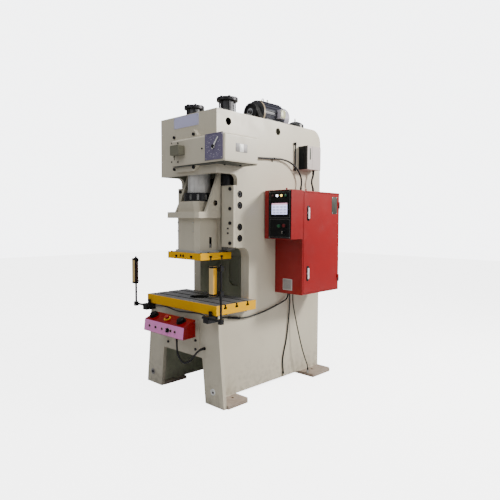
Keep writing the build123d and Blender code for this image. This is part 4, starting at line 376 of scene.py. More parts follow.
class Finish(Enum):
    """Every finish on the machine, with the record's slot that it belongs to."""

    CREAM = Paint("frame_cream", (0.52, 0.475, 0.375), (0.475, 0.435, 0.345), coat=0.08)
    # painted shade: a darker olive copy of the cream for the throat's inside faces, where shade falls
    THROAT = Paint("frame_cream", (0.42, 0.43, 0.32), (0.34, 0.35, 0.26), 0.55, coat=0.0)
    FOOT = Paint("frame_cream", (0.36, 0.30, 0.25), (0.26, 0.20, 0.16), 0.6, coat=0.0)
    SKIRT = Paint("frame_cream", (0.42, 0.42, 0.40), (0.36, 0.36, 0.34), 0.45, marks=0.8)
    OLIVE = Paint("switch_olive", (0.17, 0.165, 0.12), (0.13, 0.125, 0.09), 0.5, 0.6)
    # painted shade: near-black put on hole walls, bolt pockets, slots, the bolster's underside and a patch on
    # the ram plate's front; it also colours the drive box's seam line
    SHADE = Paint("black_steel", (0.02, 0.02, 0.018), (0.012, 0.012, 0.01), 0.7, coat=0.0, shine=0.1)
    YELLOW = Paint("machine_yellow", (0.74, 0.385, 0.004), (0.64, 0.33, 0.003), coat=0.0, shine=0.05)
    BAR_YELLOW = Paint("machine_yellow", (0.70, 0.36, 0.02), (0.62, 0.31, 0.015), coat=0.0, shine=0.1)
    BAR_TAN = Paint("machine_yellow", (0.62, 0.45, 0.21), (0.54, 0.38, 0.16), coat=0.0)
    CABINET_RED = Paint("cabinet_red", (0.25, 0.007, 0.008), (0.20, 0.006, 0.007), 0.36, coat=0.4, shine=0.2)
    STATION_RED = Paint("station_red", (0.20, 0.001, 0.002), (0.16, 0.001, 0.002), 0.3, coat=0.0, shine=0.12)
    STATION_PINK = Paint("station_red", (0.76, 0.25, 0.58), (0.70, 0.225, 0.53), 0.3, coat=0.1)
    NAVY = Paint("motor_navy", (0.034, 0.035, 0.049), (0.022, 0.023, 0.034), 0.36, coat=0.1)
    TAN = Paint("frame_cream", (0.24, 0.19, 0.13), (0.19, 0.15, 0.10), 0.45)
    LIME = Paint("machine_yellow", (0.34, 0.34, 0.19), (0.29, 0.29, 0.16), 0.4)
    COWL = Paint("drive_grey", (0.34, 0.32, 0.37), (0.29, 0.275, 0.32), 0.42)
    TANK = Paint("tank_dark", (0.018, 0.019, 0.02), (0.012, 0.013, 0.014), 0.34)
    GREY = Paint("panel_plate", (0.26, 0.25, 0.25), (0.22, 0.21, 0.21), 0.42)
    LABEL = Paint("panel_plate", (0.46, 0.46, 0.45), (0.40, 0.40, 0.39), 0.42)
    PLATE = Paint("tank_dark", (0.05, 0.055, 0.048), (0.036, 0.04, 0.035), 0.4, coat=0.0, shine=0.15)
    DRIVE_SHELL = Paint("drive_grey", (0.46, 0.40, 0.38), (0.41, 0.36, 0.34), 0.5, 0.4)
    DIAL = Paint("dial_blue", (0.155, 0.135, 0.215), (0.125, 0.108, 0.175), 0.4, coat=0.0)
    DIAL_MARK = Paint("pointer_white", (0.50, 0.48, 0.58), (0.42, 0.40, 0.49), 0.5, coat=0.0)
    BANNER = Paint("banner_pale", (0.46, 0.45, 0.64), (0.43, 0.42, 0.60), 0.35)
    WHITE = Paint("pointer_white", (0.74, 0.74, 0.72), (0.68, 0.68, 0.66), 0.35)
    STEEL = Steel("machined_steel", (0.55, 0.55, 0.54), (0.40, 0.40, 0.39), 0.3, (300.0, 300.0, 8.0))
    GROUND = Steel("machined_steel", (0.30, 0.295, 0.30), (0.19, 0.185, 0.19), 0.38, (9.0, 420.0, 420.0), 0.7)
    PLANED = Steel("machined_steel", (0.26, 0.26, 0.26), (0.17, 0.17, 0.17), 0.4, (9.0, 420.0, 420.0), 0.8)
    STREAKED = Steel("machined_steel", (0.74, 0.72, 0.70), (0.52, 0.51, 0.49), 0.45, (34.0, 34.0, 1.2), 0.15)
    CHROME = Steel("machined_steel", (0.80, 0.80, 0.81), (0.72, 0.72, 0.74), 0.16, depth=0.03)
    # painted reflection: the chrome door levers get a near-white, mostly non-metal colour that stands in for
    # the bright reflections of chrome
    LEVER = Steel("machined_steel", (0.86, 0.86, 0.88), (0.78, 0.78, 0.80), 0.25, metallic=0.25, depth=0.03)
    BLACK_OXIDE = Steel("black_steel", (0.030, 0.030, 0.033), (0.016, 0.016, 0.018), 0.4, metallic=0.7)
    IRON = Steel("grey_iron", (0.10, 0.10, 0.105), (0.06, 0.06, 0.065), 0.5, (90.0, 90.0, 90.0), 0.8)
    BRONZE = Steel("bearing_bronze", (0.52, 0.32, 0.12), (0.42, 0.25, 0.09), 0.35)
    ZINC = Steel("panel_plate", (0.58, 0.58, 0.55), (0.46, 0.46, 0.44), 0.45, (60.0, 60.0, 60.0), depth=0.05)
    PANEL_BLACK = Moulded("panel_black", (0.006, 0.006, 0.007), 0.55, shine=0.12)
    BLACK_PLASTIC = Moulded("button_black", (0.005, 0.005, 0.006), 0.45, shine=0.12)
    DUCT_GREY = Moulded("panel_black", (0.33, 0.34, 0.35), 0.5)
    BREAKER = Moulded("pointer_white", (0.62, 0.62, 0.60), 0.4)
    RELAY = Moulded("dial_blue", (0.16, 0.19, 0.24), 0.4)
    RUBBER = Moulded("belt_rubber", (0.014, 0.014, 0.014), 0.6, 500.0, 0.4)
    CABLE_BLACK = Moulded("cable_black", (0.012, 0.012, 0.012), 0.42, 700.0, 0.2)
    WIRE_BLUE = Moulded("cable_grey", (0.02, 0.06, 0.22), 0.4)
    GREEN = Moulded("button_green", (0.006, 0.07, 0.03), 0.3, coat=0.3)
    RED = Moulded("button_red", (0.36, 0.006, 0.008), 0.3, coat=0.3)
    DARK_RED = Moulded("button_red", (0.11, 0.007, 0.010), 0.3, coat=0.3)
    GUARD_YELLOW = Moulded("machine_yellow", (0.66, 0.36, 0.02), 0.4)
    LAMP_RED = Moulded("button_red", (0.05, 0.004, 0.006), 0.3, coat=0.3)
    LAMP_GREEN = Moulded("button_green", (0.006, 0.09, 0.04), 0.25, coat=0.5)
    LAMP_WHITE = Moulded("pointer_white", (0.90, 0.88, 1.0), 0.2, coat=0.8, glow=4.0)
    LAMP_YELLOW = Moulded("machine_yellow", (1.0, 0.66, 0.12), 0.2, coat=0.8, glow=2.6)
    SCREEN = Moulded("banner_pale", (0.60, 0.60, 0.92), 0.12, 200.0, 0.0, coat=1.0, glow=1.9)
    SCREEN_FIELD = Moulded("banner_pale", (0.46, 0.46, 0.74), 0.12, 200.0, 0.0, coat=1.0, glow=1.1)
    SCREEN_BAR = Moulded("button_red", (0.80, 0.42, 0.56), 0.12, 200.0, 0.0, coat=1.0, glow=1.1)
    LENS = Moulded("button_red", (0.10, 0.01, 0.012), 0.1, 200.0, 0.0, coat=1.0)


NODES_IN: dict[Finish, str] = {
    Finish.CREAM: "side_plates crown_top_plate bed_front_plate gibs bearing_cover cam_cover "
                  "station_bracket slide_body",
    Finish.THROAT: "column_liners crown_walls cross_plates",
    Finish.FOOT: "foot_plates",
    Finish.OLIVE: "cam_switch_box",
    Finish.BAR_YELLOW: "curtain_bars",
    Finish.CABINET_RED: "cabinet_shell panel_box cabinet_door",
    Finish.STATION_RED: "control_station",
    Finish.NAVY: "motor",
    Finish.TANK: "air_tank",
    Finish.DRIVE_SHELL: "drive_box",
    Finish.DIAL: "dial_plate",
    Finish.BANNER: "banner_plate",
    Finish.WHITE: "dial_pointer",
    Finish.STEEL: "hinge_pins balance_rods crankshaft",
    Finish.GROUND: "bolster",
    Finish.PLANED: "ram_plate knockout_bar",
    Finish.STREAKED: "plunger_tube",
    Finish.LEVER: "door_lever_upper door_lever_lower",
    Finish.BLACK_OXIDE: "frame_screws balance_cylinders curtain_posts ring_nut motor_pulley",
    Finish.IRON: "pitman flywheel",
    Finish.BRONZE: "crank_bushes",
    Finish.ZINC: "cabinet_panel",
    Finish.PANEL_BLACK: "panel_face",
    Finish.BLACK_PLASTIC: "cable_fittings gauge_tube palm_button_left palm_button_right "
                          "station_selector mode_selector",
    Finish.RUBBER: "v_belts",
    Finish.GREEN: "start_button",
    Finish.RED: "estop_button",
    Finish.DARK_RED: "stop_button",
}

Rule = Callable[[Vector, Vector], Finish]


class Workshop:
    """Holds the finishes and puts finished pieces on their bodies."""

    def __init__(self, nodes: dict[str, bpy.types.Object]) -> None:
        """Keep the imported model's objects by node name, and build the finishes.

        Args:
            nodes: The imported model's objects by node name.
        """
        effects = Effects()
        self.nodes = nodes
        self.finishes = {f: f.value.build(f.name.lower(), effects) for f in Finish}

    def dress_nodes(self) -> None:
        """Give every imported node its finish."""
        for finish, names in NODES_IN.items():
            for name in names.split():
                mesh = self.nodes[name].data
                mesh.materials.clear()
                mesh.materials.append(self.finishes[finish])

    def paint(self, node: str, rule: Rule) -> None:
        """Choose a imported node's finish face by face.

        Args:
            node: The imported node's name.
            rule: Gives the finish of a face from its middle, in drawing millimetres, and its normal.
        """
        mesh = self.nodes[node].data
        origin = spot(0, 0, 0)
        chosen = [rule((face.center - origin) / MM, face.normal) for face in mesh.polygons]
        used = list(dict.fromkeys(chosen))
        mesh.materials.clear()
        for finish in used:
            mesh.materials.append(self.finishes[finish])
        mesh.polygons.foreach_set("material_index", [used.index(finish) for finish in chosen])
        mesh.update()

    def fit(self, piece: bpy.types.Object, finish: Finish, body: str = "frame") -> None:
        """Give a piece its finish and let it ride on a body.

        Args:
            piece: The finished object.
            finish: What it is finished in.
            body: The body that carries it.
        """
        piece.data.materials.clear()
        piece.data.materials.append(self.finishes[finish])
        if piece.type == "MESH":
            piece.data.shade_smooth()
            piece.data.set_sharp_from_angle(angle=radians(35.0))
        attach(piece, body)
        LOG.info("%s rides on %s", piece.name, body)


def frame_of(along: Vector) -> Matrix:
    """Give a turn whose Z points along a direction, with Y kept as upright as it can be.

    Args:
        along: The direction.

    Returns:
        The turn.
    """
    ahead = along.normalized()
    side = (UP if abs(ahead.z) < 0.9 else BACK).cross(ahead).normalized()
    return Matrix((side, ahead.cross(side), ahead)).transposed()


def stand_at(place: Vector, along: Vector) -> Matrix:
    """Give the move that sets a shape drawn about Z at a place, pointing along a direction."""
    return Matrix.Translation(place) @ frame_of(along).to_4x4()


def circle(radius: float, sides: int, height: float = 0.0) -> list[Vector]:
    """Points of a circle about Z, at a height."""
    return [Vector((radius * cos(tau * i / sides), radius * sin(tau * i / sides), height))
            for i in range(sides)]


def hexagon(radius: float) -> list[Span]:
    """Corner points of a hexagon."""
    return [(point.x, point.y) for point in circle(radius, 6)]


def rounded(width: float, height: float, corner: float, steps: int = 4) -> list[Span]:
    """Outline of a rectangle with round corners, about its middle.

    Args:
        width: Its width.
        height: Its height.
        corner: Radius of its corners.
        steps: How many steps make a corner.

    Returns:
        Its points in order.
    """
    points = []
    for quarter, (sx, sy) in enumerate(((1, 1), (-1, 1), (-1, -1), (1, -1))):
        for i in range(steps + 1):
            turn = pi / 2 * (quarter + i / steps)
            points.append((sx * (width / 2 - corner) + corner * cos(turn),
                           sy * (height / 2 - corner) + corner * sin(turn)))
    return points


class Draft:
    """Gathers simple worked shapes, in drawing millimetres, into one piece's mesh."""

    def __init__(self) -> None:
        """Start an empty mesh."""
        self.mesh = bmesh.new()

    def _merge(self, shape: bmesh.types.BMesh, edge: float) -> Draft:
        """Round a shape's sharp edges and add it to the piece.

        Args:
            shape: The shape, which is used up.
            edge: Width of the rounded edges, or 0.

        Returns:
            The draft itself.
        """
        bmesh.ops.recalc_face_normals(shape, faces=shape.faces)
        if edge:
            edges = [e for e in shape.edges if len(e.link_faces) == 2 and e.calc_face_angle(0.0) > 0.5]
            bmesh.ops.bevel(shape, geom=edges, offset=edge, segments=2, profile=0.5, affect="EDGES",
                            clamp_overlap=True)
        held = bpy.data.meshes.new("shape")
        shape.to_mesh(held)
        shape.free()
        self.mesh.from_mesh(held)
        bpy.data.meshes.remove(held)
        return self

    def loft(self, rings: Sequence[Sequence[Vector]], edge: float = 0.0, loop: bool = False) -> Draft:
        """Add a skin over rings of points; a ring of one point is a tip.

        Args:
            rings: The rings, each with its points in order.
            edge: Width of the rounded edges.
            loop: Whether the last ring joins the first; otherwise both ends are closed.

        Returns:
            The draft itself.
        """
        shape = bmesh.new()
        rows = [[shape.verts.new(point) for point in ring] for ring in rings]
        sides = max(len(row) for row in rows)
        for low, top in zip(rows, rows[1:] + rows[:1] if loop else rows[1:]):
            for i in range(sides):
                j = i + 1
                corners = dict.fromkeys((low[i % len(low)], low[j % len(low)], top[j % len(top)],
                                         top[i % len(top)]))
                if len(corners) > 2:
                    shape.faces.new(list(corners))
        for end in () if loop else (rows[0], rows[-1]):
            if len(end) > 1:
                shape.faces.new(end)
        return self._merge(shape, edge)

    def box(self, x: Span, y: Span, z: Span, edge: float = 0.8) -> Draft:
        """Add a block between (low, high) pairs, with rounded edges.

        Args:
            x: Its low and high X.
            y: Its low and high Y.
            z: Its low and high Z.
            edge: Width of the rounded edges.

        Returns:
            The draft itself.
        """
        shape = bmesh.new()
        size = Matrix.Diagonal(Vector((x[1] - x[0], y[1] - y[0], z[1] - z[0], 1.0)))
        centre = Vector(((x[0] + x[1]) / 2, (y[0] + y[1]) / 2, (z[0] + z[1]) / 2))
        bmesh.ops.create_cube(shape, size=1.0, matrix=Matrix.Translation(centre) @ size)
        return self._merge(shape, edge)

    def slab(self, base: Point, along: Vector, points: Sequence[Span], thick: float,
             edge: float = 0.6) -> Draft:
        """Add a plate cut to an outline, which grows from its base along a direction."""
        place = stand_at(Vector(base), along)
        return self.loft([[place @ Vector((a, b, height)) for a, b in points] for height in (0.0, thick)],
                         edge)

    def turned(self, base: Point, along: Vector, profile: Sequence[Span], sides: int = 32) -> Draft:
        """Add a turned shape from pairs of radius and height along its axis.

        Args:
            base: Where its axis starts.
            along: Direction of its axis.
            profile: Pairs of radius and height.
            sides: How many sides it has.

        Returns:
            The draft itself.
        """
        place = stand_at(Vector(base), along)
        return self.loft([[place @ point for point in (circle(radius, sides, height) if radius else
                                                       [Vector((0.0, 0.0, height))])]
                          for radius, height in profile])

    def hoop(self, centre: Vector, along: Vector, radius: float, wire: float, sides: int = 40) -> Draft:
        """Add a ring of round wire about an axis.

        Args:
            centre: Its middle.
            along: Direction of its axis.
            radius: Radius of the ring.
            wire: Radius of the wire.
            sides: How many sides it has.

        Returns:
            The draft itself.
        """
        place = stand_at(centre, along)
        return self.loft([[place @ Matrix.Rotation(tau * i / sides, 4, "Z")
                           @ Vector((radius + point.x, 0.0, point.y))
                           for point in circle(wire, 8)] for i in range(sides)], loop=True)

    def tube(self, points: Sequence[Vector], radius: float, sides: int = 8) -> Draft:
        """Add a round wire along points, closed at both ends.

        Args:
            points: Its line.
            radius: Radius of the wire.
            sides: How many sides it has.

        Returns:
            The draft itself.
        """
        ends = [points[0], *points, points[-1]]
        turns = [frame_of(after - before) for before, after in zip(ends, ends[2:])]
        return self.loft([[place + turn @ p for p in circle(radius, sides)]
                          for place, turn in zip(points, turns)])

    def figure(self, words: str, centre: Vector, out: Vector, height: float, thick: float = 0.3) -> Draft:
        """Add raised figures that face a direction, for a scale's plain numbers.

        Args:
            words: The figures.
            centre: Their middle.
            out: The direction that they face.
            height: Their height.
            thick: How far they stand out.

        Returns:
            The draft itself.
        """
        curve = bpy.data.curves.new("figure", "FONT")
        curve.body, curve.size, curve.extrude, curve.resolution_u = words, height, thick, 2
        curve.align_x, curve.align_y = "CENTER", "CENTER"
        held = plain_mesh(link("figure", curve))
        bpy.data.curves.remove(curve)
        held.transform(stand_at(centre, out))
        self.mesh.from_mesh(held)
        bpy.data.meshes.remove(held)
        return self

    def piece(self, name: str) -> bpy.types.Object:
        """Turn the gathered shapes into an object at the origin, with its place in its mesh.

        Args:
            name: The piece's name.

        Returns:
            The new object.
        """
        mesh = bpy.data.meshes.new(name)
        self.mesh.to_mesh(mesh)
        self.mesh.free()
        mesh.transform(TO_ROW)
        return link(name, mesh)


class Repeater:
    """Geometry Nodes tree that sets copies of a pattern piece at marked points."""

    def __init__(self) -> None:
        """Build the tree once."""
        self.tree = bpy.data.node_groups.new("set_out_copies", "GeometryNodeTree")
        for label, kind in (("Points", "Geometry"), ("Pattern", "Object"), ("Seed", "Int"), ("Turn", "Float"),
                            ("Finish", "Material")):
            self.tree.interface.new_socket(label, in_out="INPUT", socket_type=f"NodeSocket{kind}")
        self.tree.interface.new_socket("Copies", in_out="OUTPUT", socket_type="NodeSocketGeometry")
        w = Wiring(self.tree)
        inside, out = w.add("NodeGroupInput").outputs, w.add("NodeGroupOutput")
        facing = w.add("GeometryNodeInputNamedAttribute", {"Name": "facing"}, data_type="FLOAT_VECTOR")
        size = w.add("GeometryNodeInputNamedAttribute", {"Name": "size"}, data_type="FLOAT")
        chance = w.add("FunctionNodeRandomValue", {"Seed": inside["Seed"]}, data_type="FLOAT")
        spun = w.add("ShaderNodeCombineXYZ", {"Z": w.times(chance.outputs[1], inside["Turn"])})
        lined = w.add("FunctionNodeAlignRotationToVector", {"Vector": facing.outputs[0]}, axis="Z")
        about = w.add("FunctionNodeRotateRotation", {0: lined.outputs[0], 1: spun.outputs[0]},
                      rotation_space="LOCAL")
        pattern = w.add("GeometryNodeObjectInfo", {"Object": inside["Pattern"]})
        copies = w.add("GeometryNodeInstanceOnPoints",
                       {"Points": inside["Points"], "Rotation": about.outputs[0],
                                                        "Instance": pattern.outputs["Geometry"],
                                                        "Scale": size.outputs[0]})
        real = w.add("GeometryNodeRealizeInstances", {0: copies.outputs[0]})
        done = w.add("GeometryNodeSetMaterial", {"Geometry": real.outputs[0], "Material": inside["Finish"]})
        w.feed(out, {0: done.outputs[0]})

    def set_out(self, name: str, pattern: Draft, spots: Sequence[Spot], material: bpy.types.Material,
                turn: float, seed: int = 7) -> bpy.types.Object:
        """Set a pattern out at a list of places and make one plain mesh of the copies.

        Args:
            name: The new piece's name.
            pattern: The pattern, drawn about its own origin and pointing up.
            spots: Place, facing and size of each copy.
            material: The copies' material.
            turn: Most that a copy may turn about its facing, in radians.
            seed: Seed of the turns.

        Returns:
            The finished piece.
        """
        master = link("pattern", bpy.data.meshes.new("pattern"))
        pattern.mesh.to_mesh(master.data)
        pattern.mesh.free()
        mesh = bpy.data.meshes.new(name)
        mesh.from_pydata([place for place, _, _ in spots], [], [])
        facing = mesh.attributes.new("facing", "FLOAT_VECTOR", "POINT")
        facing.data.foreach_set("vector", [v for _, out, _ in spots for v in out])
        mesh.attributes.new("size", "FLOAT", "POINT").data.foreach_set(
            "value", [size for _, _, size in spots])
        piece = link(name, mesh)
        steps = piece.modifiers.new("copies", "NODES")
        steps.node_group = self.tree
        values = {"Pattern": master, "Seed": seed, "Turn": turn, "Finish": material}
        for item in self.tree.interface.items_tree:
            if item.in_out == "INPUT" and item.name in values:
                steps[item.identifier] = values[item.name]
        bpy.context.view_layer.update()
        plain = plain_mesh(piece)
        piece.modifiers.clear()
        piece.data = plain
        bpy.data.objects.remove(master)
        plain.name = name
        plain.transform(TO_ROW)
        return piece


def pan_screw() -> Draft:
    """Small domed screw head of radius 1 that stands on its seat, for setting out."""
    return Draft().turned((0, 0, 0), UP, [(1, 0), (1, 0.22), (0.8, 0.45), (0.4, 0.56), (0, 0.58)], 14)


def hex_bolt() -> Draft:
    """Hexagon bolt head of radius 1 on its washer, for setting out."""
    washer = Draft().turned((0, 0, 0), UP, [(1.25, 0), (1.25, 0.12)], 16)
    return washer.slab((0, 0, 0.12), UP, hexagon(1.0), 0.6, 0.08)


def socket_screw() -> Draft:
    """Socket-head screw of radius 1 with its bore, for setting out."""
    return Draft().turned((0, 0, 0), UP, [(1, 0), (1, 0.85), (0.9, 1), (0.55, 1), (0.5, 0.5)], 12)


def grid(x: object, y: object, z: object, out: Vector, size: float) -> list[Spot]:
    """Give a copy at every crossing of the millimetres given, one number or several on each axis."""
    axes = [values if isinstance(values, Sequence) else (values,) for values in (x, y, z)]
    return [(Vector(place), out, size) for place in product(*axes)]


@dataclass
class Kit:
    """What every sub-assembly needs to build and place its pieces."""

    shop: Workshop
    repeater: Repeater

    def place(self, draft: Draft, name: str, finish: Finish, body: str = "frame") -> None:
        """Turn a draft into a piece, finish it and put it on its body."""
        self.shop.fit(draft.piece(name), finish, body)

    def scatter(self, name: str, pattern: Draft, spots: Sequence[Spot], finish: Finish, body: str = "frame",
                turn: float = 0.0) -> None:
        """Set a pattern out at places, finish the copies and put them on their body."""
        self.shop.fit(self.repeater.set_out(name, pattern, spots, self.shop.finishes[finish], turn), finish,
                      body)


@dataclass
class FramePlates:
    """The welded frame: its paint, its bolt pockets, weld seams and leg bosses."""

    half: float = 355.0
    plate: float = 40.0
    bead_pitch: float = 5.0
    bead: float = 4.5
    pockets_y: float = 252.0
    pocket_r: float = 30.0
    lift_holes: tuple[Span, ...] = ((124.0, 2206.0), (717.0, 2206.0))
    boss_y: float = -58.5

    def dress(self, shop: Workshop) -> None:
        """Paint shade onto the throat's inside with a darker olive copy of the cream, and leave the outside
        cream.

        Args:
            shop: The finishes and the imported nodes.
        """
        shop.paint("side_plates", self._side)
        # Faces that are not outside get the throat's painted shade.
        for node, outside in (("crown_walls", lambda at, out: at.y < 44 and out.y < 0.5),
                              ("cross_plates", lambda at, out: at.y > 1250 and out.y > 0.5),
                              ("column_liners", lambda at, out: out.y < -0.5),
                              ("crown_top_plate", lambda at, out: out.z >= -0.5 and out.y >= -0.5)):
            shop.paint(node, lambda at, out, outside=outside:
                       Finish.CREAM if outside(at, out) else Finish.THROAT)
        shop.paint("gibs", lambda at, out: Finish.PLANED if out.x * at.x < -0.5 or out.y > 0.5 or at.y > 213
                   else Finish.CREAM)

    def _side(self, at: Vector, out: Vector) -> Finish:
        """Give the finish of a side plate's face.

        Args:
            at: Middle of the face, in drawing millimetres.
            out: The face's normal.

        Returns:
            Its finish.
        """
        if abs(out.x) < 0.5:
            # painted shade on the lift holes' walls: near-black in the front hole, dark olive in the rear one
            for y, z in self.lift_holes:
                if hypot(at.y - y, at.z - z) < 33:
                    return Finish.SHADE if y < self.pockets_y else Finish.OLIVE
            # near-black painted shade on the walls of the bolt pockets
            pocket = abs(at.y - self.pockets_y) < self.pocket_r and 1250 < at.z < 1690
            return Finish.SHADE if pocket else Finish.CREAM
        # the side plates' inner faces in the throat get painted shade
        inner = abs(at.x) < self.half - self.plate + 1
        return Finish.THROAT if inner and out.x * at.x < 0 else Finish.CREAM

    def build(self, kit: Kit) -> None:
        """Add the weld seams and the bosses with their bolts.

        Args:
            kit: Finishes and tools.
        """
        spots = []
        for side in (-1, 1):
            x = side * self.half
            for low, high, out in (((x, -14, 26), (x, 202, 26), (side, 0, 1)),
                                   ((x, 1057, 26), (x, 1328, 26), (side, 0, 1)),
                                   ((x, -26, 360), (x, -26, 700), (side, 1, 0)),
                                   ((side * 151, -64, 470), (side * 151, -64, 632), (side, -1, 0)),
                                   ((x, 1309, 1510), (x, 1309, 1600), (side, 0, 0))):
                low, high = Vector(low), Vector(high)
                count = int((high - low).length // self.bead_pitch)
                spots += [(low.lerp(high, (i + 0.5) / count), Vector(out).normalized(), self.bead)
                          for i in range(count)]
        drop = Draft().turned((0, 0, 0), UP, [(1.0, -0.4), (0.95, 0.1), (0.6, 0.42), (0.0, 0.55)], 8)
        kit.scatter("weld_seams", drop, spots, Finish.CREAM, turn=0.8)
        profile = [(26, 0), (26, 3.5), (24, 5), (15, 5), (14, 3), (0, 3)]
        for side, x, z, finish in (("right", 379, 111, Finish.WHITE), ("left", -413, 100, Finish.GREY)):
            kit.place(Draft().turned((x, self.boss_y, z), FRONT, profile), f"leg_boss_{side}", finish)
        spots = [(Vector((385, self.boss_y - 4, 108)), FRONT, 7.5),
                 (Vector((-413, self.boss_y - 4, 100)), FRONT, 10.0)]
        kit.scatter("leg_bolts", hex_bolt(), spots, Finish.IRON, turn=0.5)


@dataclass
class Bolster:
    """Bolster plate: yellow on its outer edges, bare on top, with painted shade in its slots and on its
    underside.
    """

    half: float = 450.0
    front: float = -88.5
    rear: float = 346.5

    def dress(self, shop: Workshop) -> None:
        """Paint its edges."""
        shop.paint("bolster", self._face)

    def _face(self, at: Vector, out: Vector) -> Finish:
        """Give the finish of one face.

        Args:
            at: Middle of the face, in drawing millimetres.
            out: The face's normal.

        Returns:
            Its finish.
        """
        outer = abs(at.x) > self.half - 3 or at.y < self.front + 3 or at.y > self.rear - 3
        if outer and abs(out.z) < 0.9:
            return Finish.YELLOW
        # Top faces are bare steel; every other inner face gets near-black painted shade.
        return Finish.GROUND if out.z > 0.5 and at.z > 780 else Finish.SHADE

    def build(self, kit: Kit) -> None:
        """Add the bolts that hold the plate to the bed."""
        kit.scatter("bolster_bolts", socket_screw(), grid((-428, 428), (30, 250), 716.2, DOWN, 9.0),
                    Finish.BLACK_OXIDE)


@dataclass
class Slide:
    """Slide casting, ram plate, nut and guide tube."""

    bottom: float = 1174.0
    skirt: float = 18.0
    width: float = 424.0
    depth: float = 338.0
    axis_y: float = 127.0
    slot_z: Span = (1211.0, 1299.0)
    wing_hole: Span = (127.0, 1576.0)

    def dress(self, shop: Workshop) -> None:
        """Paint the casting, the ram plate's edges and the nut's notches.

        Args:
            shop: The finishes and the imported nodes.
        """
        shop.paint("slide_body", self._casting)
        shop.paint("ram_plate", self._ram)
        shop.paint("ring_nut", self._nut)

    def _casting(self, at: Vector, out: Vector) -> Finish:
        """Give the finish of a face of the casting.

        Args:
            at: Middle of the face, in drawing millimetres.
            out: The face's normal.

        Returns:
            Its finish.
        """
        if at.z < self.bottom + self.skirt + 0.5:
            return Finish.SKIRT
        # The walls of the knock-out slot and of the wing's hole get near-black painted shade.
        slot = abs(at.y - self.axis_y) < 14 and self.slot_z[0] - 1 < at.z < self.slot_z[1] + 1
        if abs(out.x) < 0.5 and (slot or hypot(at.y - self.wing_hole[0], at.z - self.wing_hole[1]) < 24):
            return Finish.SHADE
        return Finish.PLANED if (abs(at.x) < 24 and at.z < self.slot_z[0] + 1) or at.y > 211 else Finish.CREAM

    def _ram(self, at: Vector, out: Vector) -> Finish:
        """Give the finish of a face of the ram plate or its screws.

        Args:
            at: Middle of the face, in drawing millimetres.
            out: The face's normal.

        Returns:
            Its finish.
        """
        front = self.axis_y - self.depth / 2
        outer = abs(at.x) > self.width / 2 - 2.5 or at.y < front + 2.5 or at.y > front + self.depth - 2.5
        if outer and abs(out.z) < 0.9:
            return Finish.YELLOW
        return Finish.SHADE if at.y < front + 13 and abs(at.x + 21) < 32 else Finish.PLANED

    def _nut(self, at: Vector, out: Vector) -> Finish:
        """Give the finish of a face of the nut: bright in its notches."""
        notch = abs(out.z) <= 0.5 and 96 <= hypot(at.x, at.y - self.axis_y) <= 124.5
        return Finish.STEEL if notch else Finish.BLACK_OXIDE

    def build(self, kit: Kit) -> None:
        """Add the grease nipples and the ram plate's bolts.

        Args:
            kit: Finishes and tools.
        """
        nipple = Draft().slab((0, 0, 0), UP, hexagon(1.0), 0.7, 0.08)
        nipple.turned((0, 0, 0.7), UP, [(0.5, 0), (0.42, 0.6), (0.62, 0.85), (0.5, 1.2), (0.0, 1.35)], 12)
        kit.scatter("grease_nipples", nipple, grid((-96, 96), -17, (1348, 1418), FRONT, 6.0), Finish.ZINC,
                    "slide")
        kit.scatter("ram_bolts", hex_bolt(),
                    grid((-190, 190), (-18, 62, 186, 262), self.bottom + 0.2, UP, 8.0),
                    Finish.BLACK_OXIDE, "slide", 0.6)


def clock(angle: float) -> Vector:
    """Direction across a dial's face, in degrees clockwise from its top."""
    return Vector((sin(radians(angle)), 0, cos(radians(angle))))


